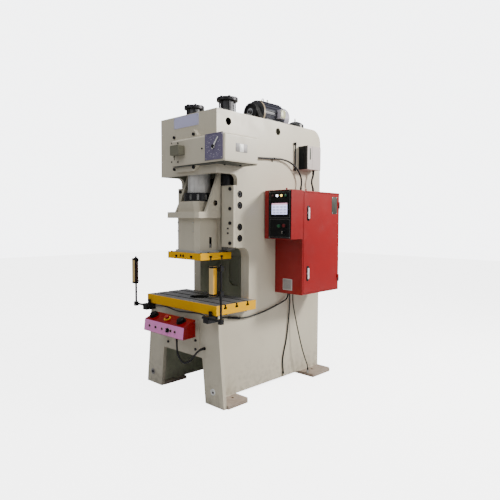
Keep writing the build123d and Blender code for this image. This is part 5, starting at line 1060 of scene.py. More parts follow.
@dataclass
class CrownFront:
    """Dial scale, covers' fasteners and small plates on the crown's front."""

    dial: Point = (402.0, -73.0, 1986.0)
    dial_size: float = 196.0
    scale_r: float = 84.0
    figures_r: float = 60.0
    cover_y: float = -32.0
    cam_y: float = -70.0
    blank: Point = (512.0, 112.5, 1982.5)
    banner: tuple[Span, Span] = ((-170.0, 145.0), (2192.0, 2284.0))

    def dress(self, shop: Workshop) -> None:
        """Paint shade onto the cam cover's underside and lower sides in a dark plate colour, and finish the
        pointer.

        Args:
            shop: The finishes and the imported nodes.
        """
        # painted shade: the cover's underside and its low side faces take the dark plate colour
        shop.paint("cam_cover", lambda at, out: Finish.PLATE
                   if out.z < -0.6 or (abs(out.y) < 0.9 and at.z < 1867)
                   else Finish.CREAM)
        shop.paint("dial_pointer", self._pointer)

    def _pointer(self, at: Vector, out: Vector) -> Finish:
        """Give the finish of a face of the pointer.

        Args:
            at: Middle of the face, in drawing millimetres.
            out: The face's normal.

        Returns:
            Its finish.
        """
        x, y, z = self.dial
        if at.y > y + 0.5:
            return Finish.STEEL
        return Finish.BLACK_OXIDE if hypot(at.x - x, at.z - z) < 13.2 and at.y < y - 7 else Finish.WHITE

    def build(self, kit: Kit) -> None:
        """Add the dial's marks and the plates and screws.

        Args:
            kit: Finishes and tools.
        """
        self._dial(kit)
        x, y, z = self.dial
        corner = self.dial_size / 2 - 12
        (left, right), (low, high) = self.banner
        spots = grid((x - corner, x + corner), y, (z - corner, z + corner), FRONT, 4.0)
        spots += grid((left + 11, right - 11), -2, (low + 11, high - 11), FRONT, 4.5)
        kit.scatter("plate_screws", pan_screw(), spots, Finish.ZINC, turn=1.5)
        spots = [(Vector((sx, self.cover_y, sz)), FRONT, 6.5) for sx, sz in ((-159, 2072), (-161, 1919))]
        spots += [(Vector((sx, self.cam_y, sz)), FRONT, 6.5)
                  for sx, sz in ((-30, 2056), (267, 1983), (-30, 1905))]
        spots += [(Vector((sx, sy, 1865.5)), DOWN, 8.0) for sx, sy in ((392, 49), (431, 180))]
        kit.scatter("cover_screws", socket_screw(), spots, Finish.BLACK_OXIDE, turn=1.0)
        x, y, z = self.blank
        kit.place(Draft().slab(self.blank, RIGHT, rounded(125, 65, 5), 1.2), "side_blank", Finish.GREY)
        kit.place(Draft().slab((x + 1.2, y, z), RIGHT, rounded(42, 60, 3), 0.5, 0.2), "side_blank_field",
                  Finish.WHITE)

    def _dial(self, kit: Kit) -> None:
        """Add the dial's marks, numbers and frame.

        Args:
            kit: Finishes and tools.
        """
        x, y, z = self.dial
        for name, angles, length, size in (
                ("dial_marks_fine", [a for a in range(0, 360, 10) if a % 30], 6.0, 1.3),
                ("dial_marks_main", range(0, 360, 30), 11.0, 2.0)):
            spots = [(Vector(self.dial) + clock(a) * (self.scale_r - length), clock(a), size) for a in angles]
            bar = Draft().box((-0.5, 0.5), (-0.5, 0.5), (0, length / size), 0.08)
            kit.scatter(name, bar, spots, Finish.DIAL_MARK)
        numbers = Draft()
        for angle in range(0, 360, 30):
            numbers.figure(str(angle), Vector((x, y - 0.1, z)) + clock(angle) * self.figures_r, FRONT, 11.0)
        kit.place(numbers, "dial_numbers", Finish.DIAL_MARK)
        edge = self.dial_size / 2
        frame = Draft()
        for sx, sz, w, h in ((0, 1, edge, 3), (0, -1, edge, 3), (1, 0, 3, edge), (-1, 0, 3, edge)):
            cx, cz = x + sx * (edge - 3), z + sz * (edge - 3)
            frame.box((cx - w, cx + w), (y - 1.6, y + 0.4), (cz - h, cz + h), 0.5)
        kit.place(frame, "dial_frame", Finish.DIAL)


@dataclass
class Cabinet:
    """Electrical cabinet: lever surrounds, blank plate, grille and what the door hides."""

    face_x: float = 656.0
    lever_y: float = 763.0
    lever_zs: Span = (1500.0, 992.0)
    blank: Span = (1146.5, 1573.5)
    grille: Point = (497.5, 690.0, 890.0)
    panel_x: float = 373.0
    front: float = 730.0
    rear: float = 1189.0
    low: float = 852.0
    high: float = 1647.0

    def dress(self, shop: Workshop) -> None:
        """Paint the components."""
        shop.paint("cabinet_panel", self._inside)

    def _inside(self, at: Vector, out: Vector) -> Finish:
        """Give the finish of a component's face.

        Args:
            at: Middle of the face, in drawing millimetres.
            out: The face's normal.

        Returns:
            Its finish.
        """
        if at.x < self.panel_x + 0.4:
            return Finish.ZINC
        if at.z > self.high - 142 or at.z < self.low + 88:
            return Finish.BREAKER
        return Finish.RELAY if at.z > self.high - 312 else Finish.PANEL_BLACK

    def build(self, kit: Kit) -> None:
        """Add the outside fittings and the inside wiring hardware."""
        self._outside(kit)
        self._rails(kit)

    def _outside(self, kit: Kit) -> None:
        """Add what is seen with the door shut.

        Args:
            kit: Finishes and tools.
        """
        surrounds = Draft()
        for z in self.lever_zs:
            surrounds.slab((self.face_x, self.lever_y, z), RIGHT, rounded(34, 128, 15, 6), 2.0, 0.8)
        kit.place(surrounds, "lever_surrounds", Finish.BLACK_PLASTIC, "door")
        y, z = self.blank
        plate = Draft().slab((self.face_x, y, z), RIGHT, rounded(83, 153, 6), 1.2)
        kit.place(plate, "door_blank", Finish.PLATE, "door")
        spots = grid(self.face_x + 1.2, (y - 34, y + 34), (z - 69, z + 69), RIGHT, 3.4)
        kit.scatter("door_blank_screws", pan_screw(), spots, Finish.ZINC, "door", 1.5)
        x, y, z = self.grille
        kit.place(Draft().slab(self.grille, FRONT, rounded(104, 98, 5), 1.4), "grille_plate", Finish.LABEL)
        slat = Draft().slab((0, 0, 0), UP, rounded(88, 5.5, 2.2, 3), 2.6, 0.6)
        kit.scatter("grille_slats", slat, grid(x, y - 1.2, [z - 38 + 9.5 * i for i in range(9)], FRONT, 1.0),
                    Finish.GREY)
        knob = Draft().turned((0, 0, 0), UP,
                              [(0.9, 0), (1.0, 0.1), (1.0, 0.35), (0.8, 0.5), (0.45, 0.56), (0.4, 0.9),
                                              (0.62, 1.0), (0.62, 1.3), (0.4, 1.45), (0.0, 1.5)], 20)
        spots = [(Vector((520, 640, 1689)), UP, 15.0), (Vector((578, 828, 1687)), UP, 13.0)]
        kit.scatter("lifting_plugs", knob, spots, Finish.CABINET_RED)

    def _rails(self, kit: Kit) -> None:
        """Add the wiring ducts, breaker toggles, terminals and wires inside.

        Args:
            kit: Finishes and tools.
        """
        x, high = self.panel_x, self.high
        shelves = (high - 170, high - 330, self.low + 95)
        ducts = Draft()
        for z in shelves:
            ducts.box((x, x + 40), (self.front + 12, self.rear - 12), (z - 12, z + 12), 1.5)
        for y in (self.front + 2, self.rear - 30):
            ducts.box((x, x + 40), (y, y + 26), (self.low + 20, high - 20), 1.5)
        kit.place(ducts, "wiring_ducts", Finish.DUCT_GREY)
        breakers = [795 + 62 * i for i in range(6)]
        screws = [y + dy for y in breakers for dy in (-14, 0, 14)]
        for name, pattern, ys, zs, out, size, finish in (
                ("duct_fingers", Draft().box((-3.2, 3.2), (-0.9, 0.9), (0, 1.0), 0.3),
                 [self.front + 30 + 12 * i for i in range(34)], shelves, 40, 1.6, Finish.BREAKER),
                ("breaker_toggles", Draft().box((-5, 5), (-9, 9), (0, 9), 1.5), breakers, high - 88, 78, 1.0,
                 Finish.RELAY),
                ("breaker_screws", pan_screw(), screws, (high - 128, high - 48), 78, 3.0, Finish.ZINC),
                ("terminal_ways", Draft().box((-4.2, 4.2), (-16, 16), (0, 5), 0.8),
                 [776 + 10.5 * i for i in range(36)], self.low + 62, 40, 1.0, Finish.DUCT_GREY)):
            kit.scatter(name, pattern, grid(x + out, ys, zs, RIGHT, size), finish)
        wires = Draft()
        for y in range(792, 1134, 31):
            wires.tube([Vector((x + out, y + dy, high - drop)) for out, dy, drop in (
                (36, 0, 140), (66, 2, 146), (74, 4, 158), (58, 5, 168), (36, 5, 171))], 1.8)
        kit.place(wires, "control_wires", Finish.WIRE_BLUE)


@dataclass
class OperatorPanel:
    """Screen, lamps and marks on the operator panel's black face."""

    face_y: float = 535.0
    screen_x: Span = (449.0, 617.0)
    screen_z: Span = (1486.0, 1581.0)
    lamps: tuple[tuple[float, Finish], ...] = ((466.0, Finish.LAMP_RED), (514.0, Finish.LAMP_WHITE),
                                               (560.0, Finish.LAMP_YELLOW), (604.0, Finish.LAMP_GREEN))
    lamp_z: float = 1641.0
    lamp: float = 9.0
    selector: Span = (583.0, 1342.0)

    def dress(self, shop: Workshop) -> None:
        """Blacken the face, with oxided button collars."""
        shop.paint("panel_face", lambda at, out: Finish.BLACK_OXIDE if at.y < self.face_y - 0.2
                   and at.z < self.screen_z[0] - 14 else Finish.PANEL_BLACK)

    def build(self, kit: Kit) -> None:
        """Add the panes, domes and outlines.

        Args:
            kit: Finishes and tools.
        """
        (left, right), (low, high) = self.screen_x, self.screen_z
        pane_y = self.face_y - 2
        bar = high - 15
        for name, span, finish in (("screen", (low + 1, bar), Finish.SCREEN),
                                   ("screen_bar", (bar, high - 1), Finish.SCREEN_BAR)):
            kit.place(Draft().box((left + 1, right - 1), (pane_y - 0.6, pane_y + 0.2), span, 0.2), name,
                      finish)
        fields = Draft()
        for i, j in product(range(3), range(4)):
            fx, fz = left + 12 + 39 * j, low + 9 + 23 * i
            fields.box((fx, fx + 30), (pane_y - 0.9, pane_y - 0.5), (fz, fz + 14), 0.15)
        kit.place(fields, "screen_fields", Finish.SCREEN_FIELD)
        profile = [(10.5, -0.5), (10.5, 2.5), (9.6, 5.5), (7.2, 8.0), (3.8, 9.4), (0, 9.8)]
        for number, (x, finish) in enumerate(self.lamps):
            kit.place(Draft().turned((x, self.face_y - self.lamp, self.lamp_z), FRONT, profile),
                      f"lamp_{number}",
                      finish)
        lines = Draft()
        left, right = 428, 640
        for low, high in ((1461, 1670), (1300, 1448)):
            for x0, x1, z0, z1 in ((left, right, low, low + 0.8), (left, right, high - 0.8, high),
                                   (left, left + 0.8, low, high), (right - 0.8, right, low, high)):
                lines.box((x0, x1), (self.face_y - 0.3, self.face_y + 0.2), (z0, z1), 0.0)
        kit.place(lines, "panel_outlines", Finish.GREY)
        x, z = self.selector
        mark = Draft().box((x - 1.0, x + 1.0), (508.6, 509.4), (z - 11, z + 11), 0.2)
        kit.place(mark, "selector_mark", Finish.WHITE, "mode_knob")
        kit.scatter("panel_screws", pan_screw(), grid((421, 643), self.face_y, (1297, 1676), FRONT, 3.4),
                    Finish.ZINC,
                    turn=1.5)


@dataclass(frozen=True)
class Slope:
    """A leaning face of the station, from its lower edge to its upper one, each as (y, z)."""

    low: Span
    high: Span

    @property
    def out(self) -> Vector:
        """Direction that the face looks in."""
        run = (Vector(self.high) - Vector(self.low)).normalized()
        return Vector((0, -run.y, run.x))

    def over(self, x: float, height: float) -> Vector:
        """Place over the middle of the face."""
        return Vector((x, *((Vector(self.low) + Vector(self.high)) / 2))) + self.out * height

    def height(self, at: Vector) -> float:
        """How far a place stands out of the face."""
        return (at - Vector((0, *self.low))).dot(self.out)


@dataclass
class TwoHandStation:
    """Two-hand station: its painted faces, marks, bellows and end screws."""

    face: Slope = Slope((-250.0, 525.0), (-238.0, 620.0))
    top: Slope = Slope((-238.0, 620.0), (-126.0, 667.0))
    ends: Span = (-268.0, 250.0)
    palms: Span = (-213.0, 147.0)
    estop: float = -32.0
    keys: tuple[float, ...] = (-189.0, -106.0, -20.0, 95.0, 147.0)
    selector: float = 56.0

    def dress(self, shop: Workshop) -> None:
        """Paint the housing's faces."""
        shop.paint("control_station", self._face)

    def _face(self, at: Vector, out: Vector) -> Finish:
        """Give the finish of one face of the housing.

        Args:
            at: Middle of the face, in drawing millimetres.
            out: The face's normal.

        Returns:
            Its finish.
        """
        if at.z >= 524 and self.top.height(at) > 0.3 and abs(at.x - self.estop) < 34:
            return Finish.GUARD_YELLOW
        if at.z < 524 or self.top.height(at) > 0.3 or self.face.height(at) > 0.3:
            return Finish.BLACK_PLASTIC
        return Finish.STATION_PINK if out.dot(self.face.out) > 0.98 else Finish.STATION_RED

    def build(self, kit: Kit) -> None:
        """Add the small parts of the station.

        Args:
            kit: Finishes and tools.
        """
        face, top = self.face, self.top
        kit.scatter("station_lenses", pan_screw(), [(face.over(x, 8.0), face.out, 6.5) for x in self.keys],
                    Finish.LENS)
        rings = Draft()
        for x in self.keys:
            rings.hoop(face.over(x, 0.8), face.out, 11.0, 1.3)
        rings.hoop(face.over(self.selector, 0.8), face.out, 19.0, 1.5)
        kit.place(rings, "station_rings", Finish.ZINC)
        bellows = Draft()
        for x in self.palms:
            for radius, wire in ((24.0, 1.5), (20.0, 1.6)):
                bellows.hoop(top.over(x, 6.0), top.out, radius, wire)
        bellows.hoop(top.over(self.estop, 5.2), top.out, 14.0, 1.3)
        kit.place(bellows, "button_bellows", Finish.RUBBER)
        mark = [(-1, -12), (1, -12), (1, 12), (-1, 12)]
        line = Draft().slab(face.over(self.selector, 23.0), face.out, mark, 0.5, 0.1)
        kit.place(line, "station_selector_mark", Finish.WHITE, "station_knob")
        spots = [(Vector((end, y, z)), out, 4.2) for end, out in zip(self.ends, (LEFT, RIGHT))
                 for y, z in ((-236, 541), (-143, 545), (-140, 645), (-226, 610))]
        kit.scatter("station_end_screws", pan_screw(), spots, Finish.BLACK_OXIDE, turn=1.5)


@dataclass
class LightCurtains:
    """Light-curtain bars with their lenses, end caps and knobs."""

    bar_x: float = 507.0
    bar_front: float = -193.0
    low: float = 886.0
    high: float = 1104.0
    cap: float = 16.0

    def dress(self, shop: Workshop) -> None:
        """Paint the bars."""
        shop.paint("curtain_bars", self._bar)

    def _bar(self, at: Vector, out: Vector) -> Finish:
        """Give the finish of one face of a bar.

        Args:
            at: Middle of the face, in drawing millimetres.
            out: The face's normal.

        Returns:
            Its finish.
        """
        if at.z < self.low + 1 or at.z > self.high - 1:
            return Finish.BLACK_PLASTIC
        if out.x * at.x < -0.5 * abs(at.x):
            return Finish.PANEL_BLACK
        return Finish.BAR_TAN if out.y < -0.3 else Finish.BAR_YELLOW

    def build(self, kit: Kit) -> None:
        """Add the lens strips, caps and knobs.

        Args:
            kit: Finishes and tools.
        """
        caps, lenses, front = Draft(), [], self.bar_front
        for side in (-1, 1):
            x = side * self.bar_x
            for z in ((self.low - 0.4, self.low + self.cap), (self.high - self.cap, self.high + 0.4)):
                caps.box((x - 23.6, x + 23.6), (front - 0.6, front + 38.6), z, 3.0)
            lenses += grid(x - side * 23, front + 19, [self.low + 30 + 14 * i for i in range(12)],
                           RIGHT * -side, 4.2)
        kit.place(caps, "bar_caps", Finish.BLACK_PLASTIC)
        kit.scatter("beam_lenses", pan_screw(), lenses, Finish.LENS)
        profile = [(0.5, 0), (0.9, 0.15), (1.0, 0.4), (0.95, 0.75), (0.6, 0.9), (0, 0.95)]
        star = Draft().turned((0, 0, 0), UP, profile, 10)
        kit.scatter("clamp_knobs", star, grid((-400, 400), -105, 736, UP, 15.0), Finish.BLACK_PLASTIC)
        kit.scatter("post_screws", socket_screw(), grid((-553, 553), -152, (700, 892, 1098), FRONT, 5.0),
                    Finish.BLACK_OXIDE)


@dataclass
class TopDrive:
    """Motor, pulley and what stands on the crown."""

    motor_z: float = 2431.0
    tail_y: float = 1188.0
    pulley_front: float = 733.0
    box_x: float = 158.0
    box_y: float = 1017.0
    cylinder: Span = (210.0, 248.0)

    def dress(self, shop: Workshop) -> None:
        """Paint the motor's parts, the pulley, the cylinders and the tank's valve.

        Args:
            shop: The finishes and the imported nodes.
        """
        shop.paint("motor", self._motor)
        shop.paint("motor_pulley", self._pulley)
        shop.paint("balance_cylinders", self._cylinder)
        shop.paint("air_tank", lambda at, out: Finish.STEEL if at.z > 2374.5 else Finish.TANK)

    def _motor(self, at: Vector, out: Vector) -> Finish:
        """Give the finish of one face of the motor.

        Args:
            at: Middle of the face, in drawing millimetres.
            out: The face's normal.

        Returns:
            Its finish.
        """
        if at.z > 2553:
            return Finish.ZINC
        if at.x > 115 and 980 < at.y < 1054 and abs(at.z - self.motor_z) < 43:
            return Finish.COWL
        if at.y < 823:
            return Finish.IRON if abs(out.y) > 0.5 else Finish.TAN
        return Finish.COWL if at.y >= 1097.5 else Finish.NAVY

    def _pulley(self, at: Vector, out: Vector) -> Finish:
        """Give the finish of one face of the pulley.

        Args:
            at: Middle of the face, in drawing millimetres.
            out: The face's normal.

        Returns:
            Its finish.
        """
        reach = hypot(at.x, at.z - self.motor_z)
        if reach < 20:
            return Finish.STEEL if out.y < -0.5 and at.y < self.pulley_front else Finish.BLACK_OXIDE
        return Finish.CHROME if reach < 35 and at.y < self.pulley_front + 11 else Finish.BLACK_OXIDE

    def _cylinder(self, at: Vector, out: Vector) -> Finish:
        """Give the finish of one face of a balance cylinder.

        Args:
            at: Middle of the face, in drawing millimetres.
            out: The face's normal.

        Returns:
            Its finish.
        """
        if 2180 < at.z < 2288:
            return Finish.CREAM
        barrel = hypot(abs(at.x) - self.cylinder[0], at.y - self.cylinder[1]) < 58 and 2301 < at.z < 2402
        return Finish.IRON if barrel else Finish.BLACK_OXIDE

    def build(self, kit: Kit) -> None:
        """Add the cowl's grille, the box lid, the pin and the feet's bolts.

        Args:
            kit: Finishes and tools.
        """
        tail = Vector((0, self.tail_y, self.motor_z))
        grille = Draft()
        for radius in range(18, 89, 14):
            grille.hoop(tail, BACK, radius, 1.6, 48)
        kit.place(grille, "cowl_grille", Finish.GREY)
        spoke = Draft().box((-1.4, 1.4), (-1.4, 1.4), (0, 88), 0.3)
        spots = [(tail, Vector((cos(tau * i / 8), 0, sin(tau * i / 8))), 1.0) for i in range(8)]
        kit.scatter("cowl_spokes", spoke, spots, Finish.GREY)
        profile = [(11, -2), (11, 6), (7, 9), (7, 27), (9, 29), (9, 34), (6, 37), (0, 38)]
        kit.place(Draft().turned((0, 972, 2545), UP, profile, 20), "motor_pin", Finish.ZINC)
        x, y, z = self.box_x, self.box_y, self.motor_z
        kit.place(Draft().slab((x, y, z), RIGHT, rounded(62, 74, 6), 5.0, 1.5), "terminal_lid", Finish.LIME)
        kit.scatter("lid_screws", pan_screw(), grid(x + 5, (y - 24, y + 24), (z - 30, z + 30), RIGHT, 4.0),
                    Finish.ZINC,
                    turn=1.5)
        kit.scatter("motor_bolts", hex_bolt(), grid((-108, 108), (870, 1050), 2314, UP, 9.0),
                    Finish.BLACK_OXIDE,
                    turn=0.6)
        nut = Draft().slab((0, self.pulley_front - 10, z), FRONT, hexagon(13), 7.0, 0.8)
        kit.place(nut, "pulley_nut", Finish.BLACK_OXIDE, "pulley_body")


@dataclass
class DriveBox:
    """Drive housing on the side plate, with its finned front."""

    face_x: float = 455.0
    front: float = 1006.0
    low: float = 1903.0
    high: float = 2112.0

    def dress(self, shop: Workshop) -> None:
        """Paint its finned front black."""
        shop.paint("drive_box", lambda at, out: Finish.TANK if at.y < self.front + 17.5
                   else Finish.DRIVE_SHELL)

    def build(self, kit: Kit) -> None:
        """Add the side's strip, seam and screws.

        Args:
            kit: Finishes and tools.
        """
        x = self.face_x
        kit.place(Draft().slab((x, 1050, 2040), RIGHT, rounded(18, 104, 4), 1.0, 0.3), "drive_strip",
                  Finish.PLATE)
        kit.place(Draft().box((x - 0.4, x + 0.3), (1079, 1081), (self.low + 3, self.high - 3), 0.0),
                  "drive_seam",
                  Finish.SHADE)
        spots = grid(x, (1094, 1200), (self.low + 12, self.high - 12), RIGHT, 3.4)
        spots += grid(x, (1036, 1050, 1064), 1962, RIGHT, 2.6)
        kit.scatter("drive_screws", pan_screw(), spots, Finish.ZINC, turn=1.5)


def walk(points: Sequence[Vector], distance: float) -> tuple[Vector, Vector]:
    """Find a place along a line of points.

    Args:
        points: The line.
        distance: How far along it; a negative distance counts from its end.

    Returns:
        The place and the direction there.
    """
    run = list(points) if distance >= 0 else list(reversed(points))
    left = abs(distance)
    for here, there in zip(run, run[1:]):
        step = (there - here).length
        if step > left:
            ahead = (there - here).normalized()
            return here + ahead * left, ahead if distance >= 0 else -ahead
        left -= step
    return run[-1], (run[-1] - run[-2]).normalized()


@dataclass
class Cable:
    """One free cable along its route, and the sleeves that follow it."""

    name: str
    diameter: float
    length: float
    route: tuple[Point, ...]
    slot: str = "cable_black"

    def _curve(self, name: str, bevel: float) -> bpy.types.Object:
        """Draw the route as one smooth curve.

        Args:
            name: The curve's name.
            bevel: Radius of its tube in metres, or 0 for the bare line.

        Returns:
            The curve's object.
        """
        curve = bpy.data.curves.new(name, "CURVE")
        curve.dimensions = "3D"
        curve.bevel_depth, curve.bevel_resolution, curve.resolution_u = bevel, 4, 8
        curve.use_fill_caps = bool(bevel)
        line = curve.splines.new("NURBS")
        line.points.add(len(self.route) - 1)
        for point, place in zip(line.points, self.route):
            point.co = (*spot(*place), 1.0)
        line.order_u = 3
        line.use_endpoint_u = True
        return link(name, curve)

    def trail(self) -> list[Vector]:
        """Read points along the smooth curve, in drawing millimetres.

        Returns:
            The points in order.
        """
        bare = self._curve(f"{self.name}_line", 0.0)
        held, curve = plain_mesh(bare), bare.data
        points = [(v.co - spot(0, 0, 0)) / MM for v in held.vertices]
        bpy.data.objects.remove(bare)
        bpy.data.curves.remove(curve)
        bpy.data.meshes.remove(held)
        return points

    def sleeve(self, draft: Draft, start: float, profile: Sequence[Span], sides: int = 20) -> None:
        """Add a moulded sleeve round the cable.

        Args:
            draft: What it is added to.
            start: How far along the cable it starts; a negative distance counts from its end.
            profile: How far it stands out of the cable, and how far along from its start.
            sides: How many sides it has.
        """
        points = self.trail()
        rings = []
        for proud, along in profile:
            place, ahead = walk(points, start - along if start < 0 else start + along)
            turn = frame_of(ahead)
            rings.append([place + turn @ point for point in circle(self.diameter / 2 + proud, sides)])
        draft.loft(rings)

    def lay(self, kit: Kit, pieces: list[bpy.types.Object]) -> None:
        """Args:
            kit: Finishes and tools.
            pieces: Separate pieces that sit on the cable; not used.
        """
        piece = self._curve(f"{self.name}_lead", self.diameter * MM / 2)
        kit.shop.fit(piece, Finish.CABLE_BLACK)
        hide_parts(self.name)


def ribbed(length: float, ribs: int = 5) -> list[Span]:
    """Profile of a tapered strain relief with ribs, from its thick end.

    Args:
        length: How long it is.
        ribs: How many ribs it has.

    Returns:
        How far it stands out of the cable, and how far along that is.
    """
    profile = [(2.6, 0.0)]
    for i in range(ribs):
        low, high = length * (i + 0.2) / ribs, length * (i + 0.7) / ribs
        proud = 0.7 + 2.4 * (1 - i / ribs)
        profile += [(proud, low), (proud, high), (0.5, high + 0.4), (0.5, length * (i + 1.15) / ribs)]
    return profile


CABLES = (
    Cable("cam_cable", 16.0, 0.867,
          ((388, 306, 1950), (388, 366, 1950), (384, 440, 1952), (380, 520, 1957), (378, 602, 1963),
           (379, 690, 1969), (382, 778, 1967), (387, 860, 1948), (392, 928, 1911), (394, 977, 1862),
           (395, 1001, 1810), (395, 1001, 1765), (395, 993, 1734), (395, 993, 1703))),
    Cable("drive_cable", 16.0, 0.191,
          ((405, 1166, 1887), (405, 1166, 1866), (404, 1160, 1842), (403, 1149, 1820), (402, 1145, 1795),
           (403, 1149, 1770), (404, 1160, 1748), (405, 1166, 1724), (405, 1166, 1703))),
    Cable("station_cable", 15.0, 0.455,
          ((88, -182, 511), (88, -182, 471), (88, -181, 430), (94, -180, 389), (112, -179, 352),
           (142, -178, 328), (180, -177, 322), (216, -174, 334), (247, -168, 358), (265, -158, 385),
           (275, -143, 408), (280, -123, 425), (282, -98, 434), (282, -74, 434)), "cable_grey"),
    Cable("table_cable", 13.0, 0.914,
          ((380, 843, 796), (380, 843, 774), (379, 836, 752), (377, 821, 734), (374, 798, 722),
           (371, 766, 713), (368, 716, 699), (367, 640, 680), (367, 560, 663), (367, 478, 652),
           (367, 398, 644), (368, 320, 639), (368, 248, 642), (369, 182, 653), (371, 124, 664),
           (375, 72, 673), (376, 30, 676), (376, -10, 676)), "cable_grey"),
    Cable("floor_cable", 11.0, 0.750,
          ((372, 876, 796), (372, 876, 756), (369, 883, 690), (366, 878, 600), (364, 868, 505),
           (362, 858, 415), (362, 840, 335), (362, 815, 265), (362, 798, 195), (363, 797, 130),
           (363, 805, 90), (363, 805, 56))),
    Cable("earth_lead", 10.0, 0.769,
          ((380, 911, 796), (380, 911, 760), (384, 908, 690), (396, 922, 590), (408, 941, 482),
           (422, 962, 370), (434, 987, 265), (443, 1024, 160), (446, 1060, 95), (446, 1060, 52))),
    Cable("curtain_cable", 7.0, 0.753,
          ((-372, -92, 692), (-346, -92, 692), (-306, -78, 700), (-246, -68, 706), (-172, -66, 701),
           (-96, -66, 690), (-16, -67, 688), (66, -66, 694), (146, -66, 700), (224, -67, 705),
           (294, -76, 702), (344, -92, 692), (372, -92, 692))),
)


@dataclass
class CableRun:
    """Every free cable with its strain reliefs, its connector and its clip."""

    connector: Span = (655.0, 800.0)
    clip_at: float = 335.0
    plate_x: float = 355.0

    def dress(self, shop: Workshop) -> None:
        """Paint the glands and terminals."""
        shop.paint("cable_fittings", self._fitting)

    @staticmethod
    def _fitting(at: Vector, out: Vector) -> Finish:
        """Give the finish of a gland or terminal.

        Args:
            at: Middle of the face, in drawing millimetres.
            out: The face's normal.

        Returns:
            Its finish.
        """
        if at.z >= 60:
            return Finish.BLACK_PLASTIC
        return Finish.STEEL if at.x > 425 else Finish.CREAM

    def build(self, kit: Kit) -> None:
        """Lay the cables and add what sits on them.

        Args:
            kit: Finishes and tools.
        """
        reliefs = Draft()
        for cable in CABLES:
            for start in (0.5, -0.5):
                cable.sleeve(reliefs, start, ribbed(max(20.0, 2.2 * cable.diameter)))
            if cable.name == "cam_cable":
                self._clip(kit, cable)
            cable.lay(kit, [self._connector(kit, cable)] if cable.name == "table_cable" else [])
        kit.place(reliefs, "strain_reliefs", Finish.RUBBER)

    def _connector(self, kit: Kit, cable: Cable) -> bpy.types.Object:
        """Add the inline connector of the table cable and give it back.

        Args:
            kit: Finishes and tools.
            cable: The cable.

        Returns:
            The connector.
        """
        low, high = self.connector
        span = high - low
        draft = Draft()
        cable.sleeve(draft, low, ((0.4, 0.0), (2.5, 3.0), (3.5, 18.0), (3.5, span - 24), (2.5, span - 20),
                                  (2.5, span - 3), (0.4, span)))
        piece = draft.piece("inline_connector")
        kit.shop.fit(piece, Finish.BLACK_PLASTIC)
        return piece

    def _clip(self, kit: Kit, cable: Cable) -> None:
        """Add the clip that holds the cam cable to the side plate.

        Args:
            kit: Finishes and tools.
            cable: The cable.
        """
        at, ahead = walk(cable.trail(), self.clip_at)
        radius, foot = cable.diameter / 2, self.plate_x
        draft = Draft().turned(at - ahead * 7, ahead,
                               [(radius + 0.3, 0), (radius + 2.0, 0.4), (radius + 2.0, 13.6),
                                                       (radius + 0.3, 14)], 24)
        draft.box((foot, at.x - radius + 2), (at.y - 7, at.y + 7), (at.z - 7, at.z + 7), 1.0)
        draft.box((foot, foot + 2.5), (at.y - 7, at.y + 7), (at.z - 26, at.z + 8), 0.8)
        draft.turned((foot + 2.5, at.y, at.z - 18), RIGHT, [(5, 0), (5, 2), (3.5, 3.5), (0, 3.8)], 14)
        kit.place(draft, "cable_clip", Finish.BLACK_PLASTIC)


@dataclass(frozen=True)
class Lamp:
    """A soft square lamp: its place, the point that it faces, its side in metres and its watts."""

    name: str
    at: Point
    aim: Point
    size: float
    power: float
    colour: Colour = (1.0, 1.0, 1.0)

    def hang(self) -> None:
        """Hang the lamp."""
        data = bpy.data.lights.new(self.name, "AREA")
        data.shape, data.size, data.energy, data.color = "SQUARE", self.size, self.power, self.colour
        lamp = link(self.name, data)
        lamp.location = self.at
        lamp.rotation_euler = (Vector(self.aim) - Vector(self.at)).to_track_quat("-Z", "Y").to_euler()


LAMPS = (
    Lamp("side_light", (3.4, 2.6, 3.5), (0.3, -0.1, 1.6), 0.9, 350.0, (1.0, 0.97, 0.92)),
    Lamp("side_fill", (4.0, -1.0, 3.0), (0.2, 0.0, 1.4), 2.0, 45.0, (1.0, 0.98, 0.95)),
    Lamp("top_light", (0.8, -0.7, 6.0), (0.0, 0.0, 1.2), 3.5, 230.0),
    Lamp("rear_light", (3.4, 3.6, 3.4), (0.5, 0.3, 1.5), 2.4, 30.0),
    Lamp("front_light", (-0.5, -5.0, 4.4), (0.0, 0.0, 1.2), 3.0, 62.0, (0.95, 0.97, 1.0)),
)


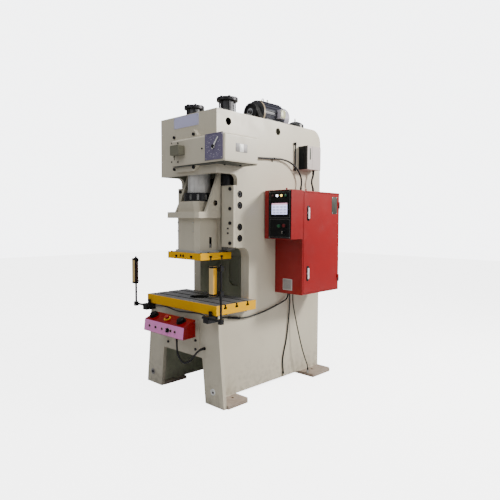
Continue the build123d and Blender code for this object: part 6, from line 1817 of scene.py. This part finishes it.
@dataclass
class Studio:
    """Floor, lights and the camera at the photograph's angle."""

    camera_at: Point = (3.099, -3.1365, 1.431)
    yaw: float = 43.832
    pitch: float = -3.441
    roll: float = 0.261
    lens: float = 34.54
    floor_reach: float = 16.0
    floor_colour: Colour = (0.58, 0.58, 0.58)
    world_light: float = 0.30
    backdrop: float = 5.5
    floor_glow: float = 4.4

    def build(self) -> None:
        """Set the stage."""
        self._floor()
        self._world()
        for lamp in LAMPS:
            lamp.hang()
        self._camera()

    @staticmethod
    def _seen(w: Wiring, unseen: float, seen: float) -> Socket:
        """Give one value to the camera's own rays and another to all others."""
        return w.remap(w.add("ShaderNodeLightPath").outputs["Is Camera Ray"], 0.0, 1.0, unseen, seen)

    def _floor(self) -> None:
        """Lay a plain pale floor."""
        mesh = bpy.data.meshes.new("floor")
        reach = self.floor_reach
        mesh.from_pydata([(-reach, -reach, 0), (reach, -reach, 0), (reach, reach, 0), (-reach, reach, 0)], [],
                         [(0, 1, 2, 3)])
        floor = link("floor", mesh)
        material, w, shader = start_material("floor_white")
        tone = w.mix(w.noise(w.where(), 0.6, 3.0), rgba(self.floor_colour), rgba(self.floor_colour, 0.985))
        w.feed(shader, {"Base Color": tone, "Roughness": 0.9, "Emission Color": rgba((1.0, 1.0, 1.0)),
                        "Emission Strength": self._seen(w, 0.0, self.floor_glow)})
        mesh.materials.append(material)

    def _world(self) -> None:
        """Surround the machine with soft light and a bright backdrop."""
        world = bpy.data.worlds.new("studio")
        world.use_nodes = True
        w = Wiring(world.node_tree)
        w.feed(world.node_tree.nodes["Background"], {0: (0.97, 0.98, 1.0, 1.0),
                                                     1: self._seen(w, self.world_light, self.backdrop)})
        bpy.context.scene.world = world

    def _camera(self) -> None:
        """Stand the camera where the photograph was taken."""
        yaw, pitch, roll = radians(self.yaw), radians(self.pitch), radians(self.roll)
        ahead = Vector((-sin(yaw) * cos(pitch), cos(yaw) * cos(pitch), sin(pitch)))
        level = Vector((cos(yaw), sin(yaw), 0.0))
        above = level.cross(ahead)
        right = level * cos(roll) + above * sin(roll)
        up = above * cos(roll) - level * sin(roll)
        data = bpy.data.cameras.new("camera")
        data.lens, data.sensor_width, data.clip_end = self.lens, 36.0, 100.0
        camera = link("camera", data)
        turn = Matrix((right, up, -ahead)).transposed().to_4x4()
        camera.matrix_world = Matrix.Translation(Vector(self.camera_at)) @ turn
        bpy.context.scene.camera = camera


def main() -> None:
    """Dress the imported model, add its fine pieces and set the stage."""
    logging.basicConfig(level=logging.INFO, format="%(name)s: %(message)s")
    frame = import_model()
    Studio().build()
    kit = Kit(Workshop(frame["nodes"]), Repeater())
    kit.shop.dress_nodes()
    for assembly in (CableRun(), FramePlates(), Bolster(), Slide(), CrownFront(), Cabinet(), OperatorPanel(),
                     TwoHandStation(), LightCurtains(), TopDrive(), DriveBox()):
        LOG.info("building %s", type(assembly).__name__)
        assembly.dress(kit.shop)
        assembly.build(kit)


if __name__ == "__main__":
    main()
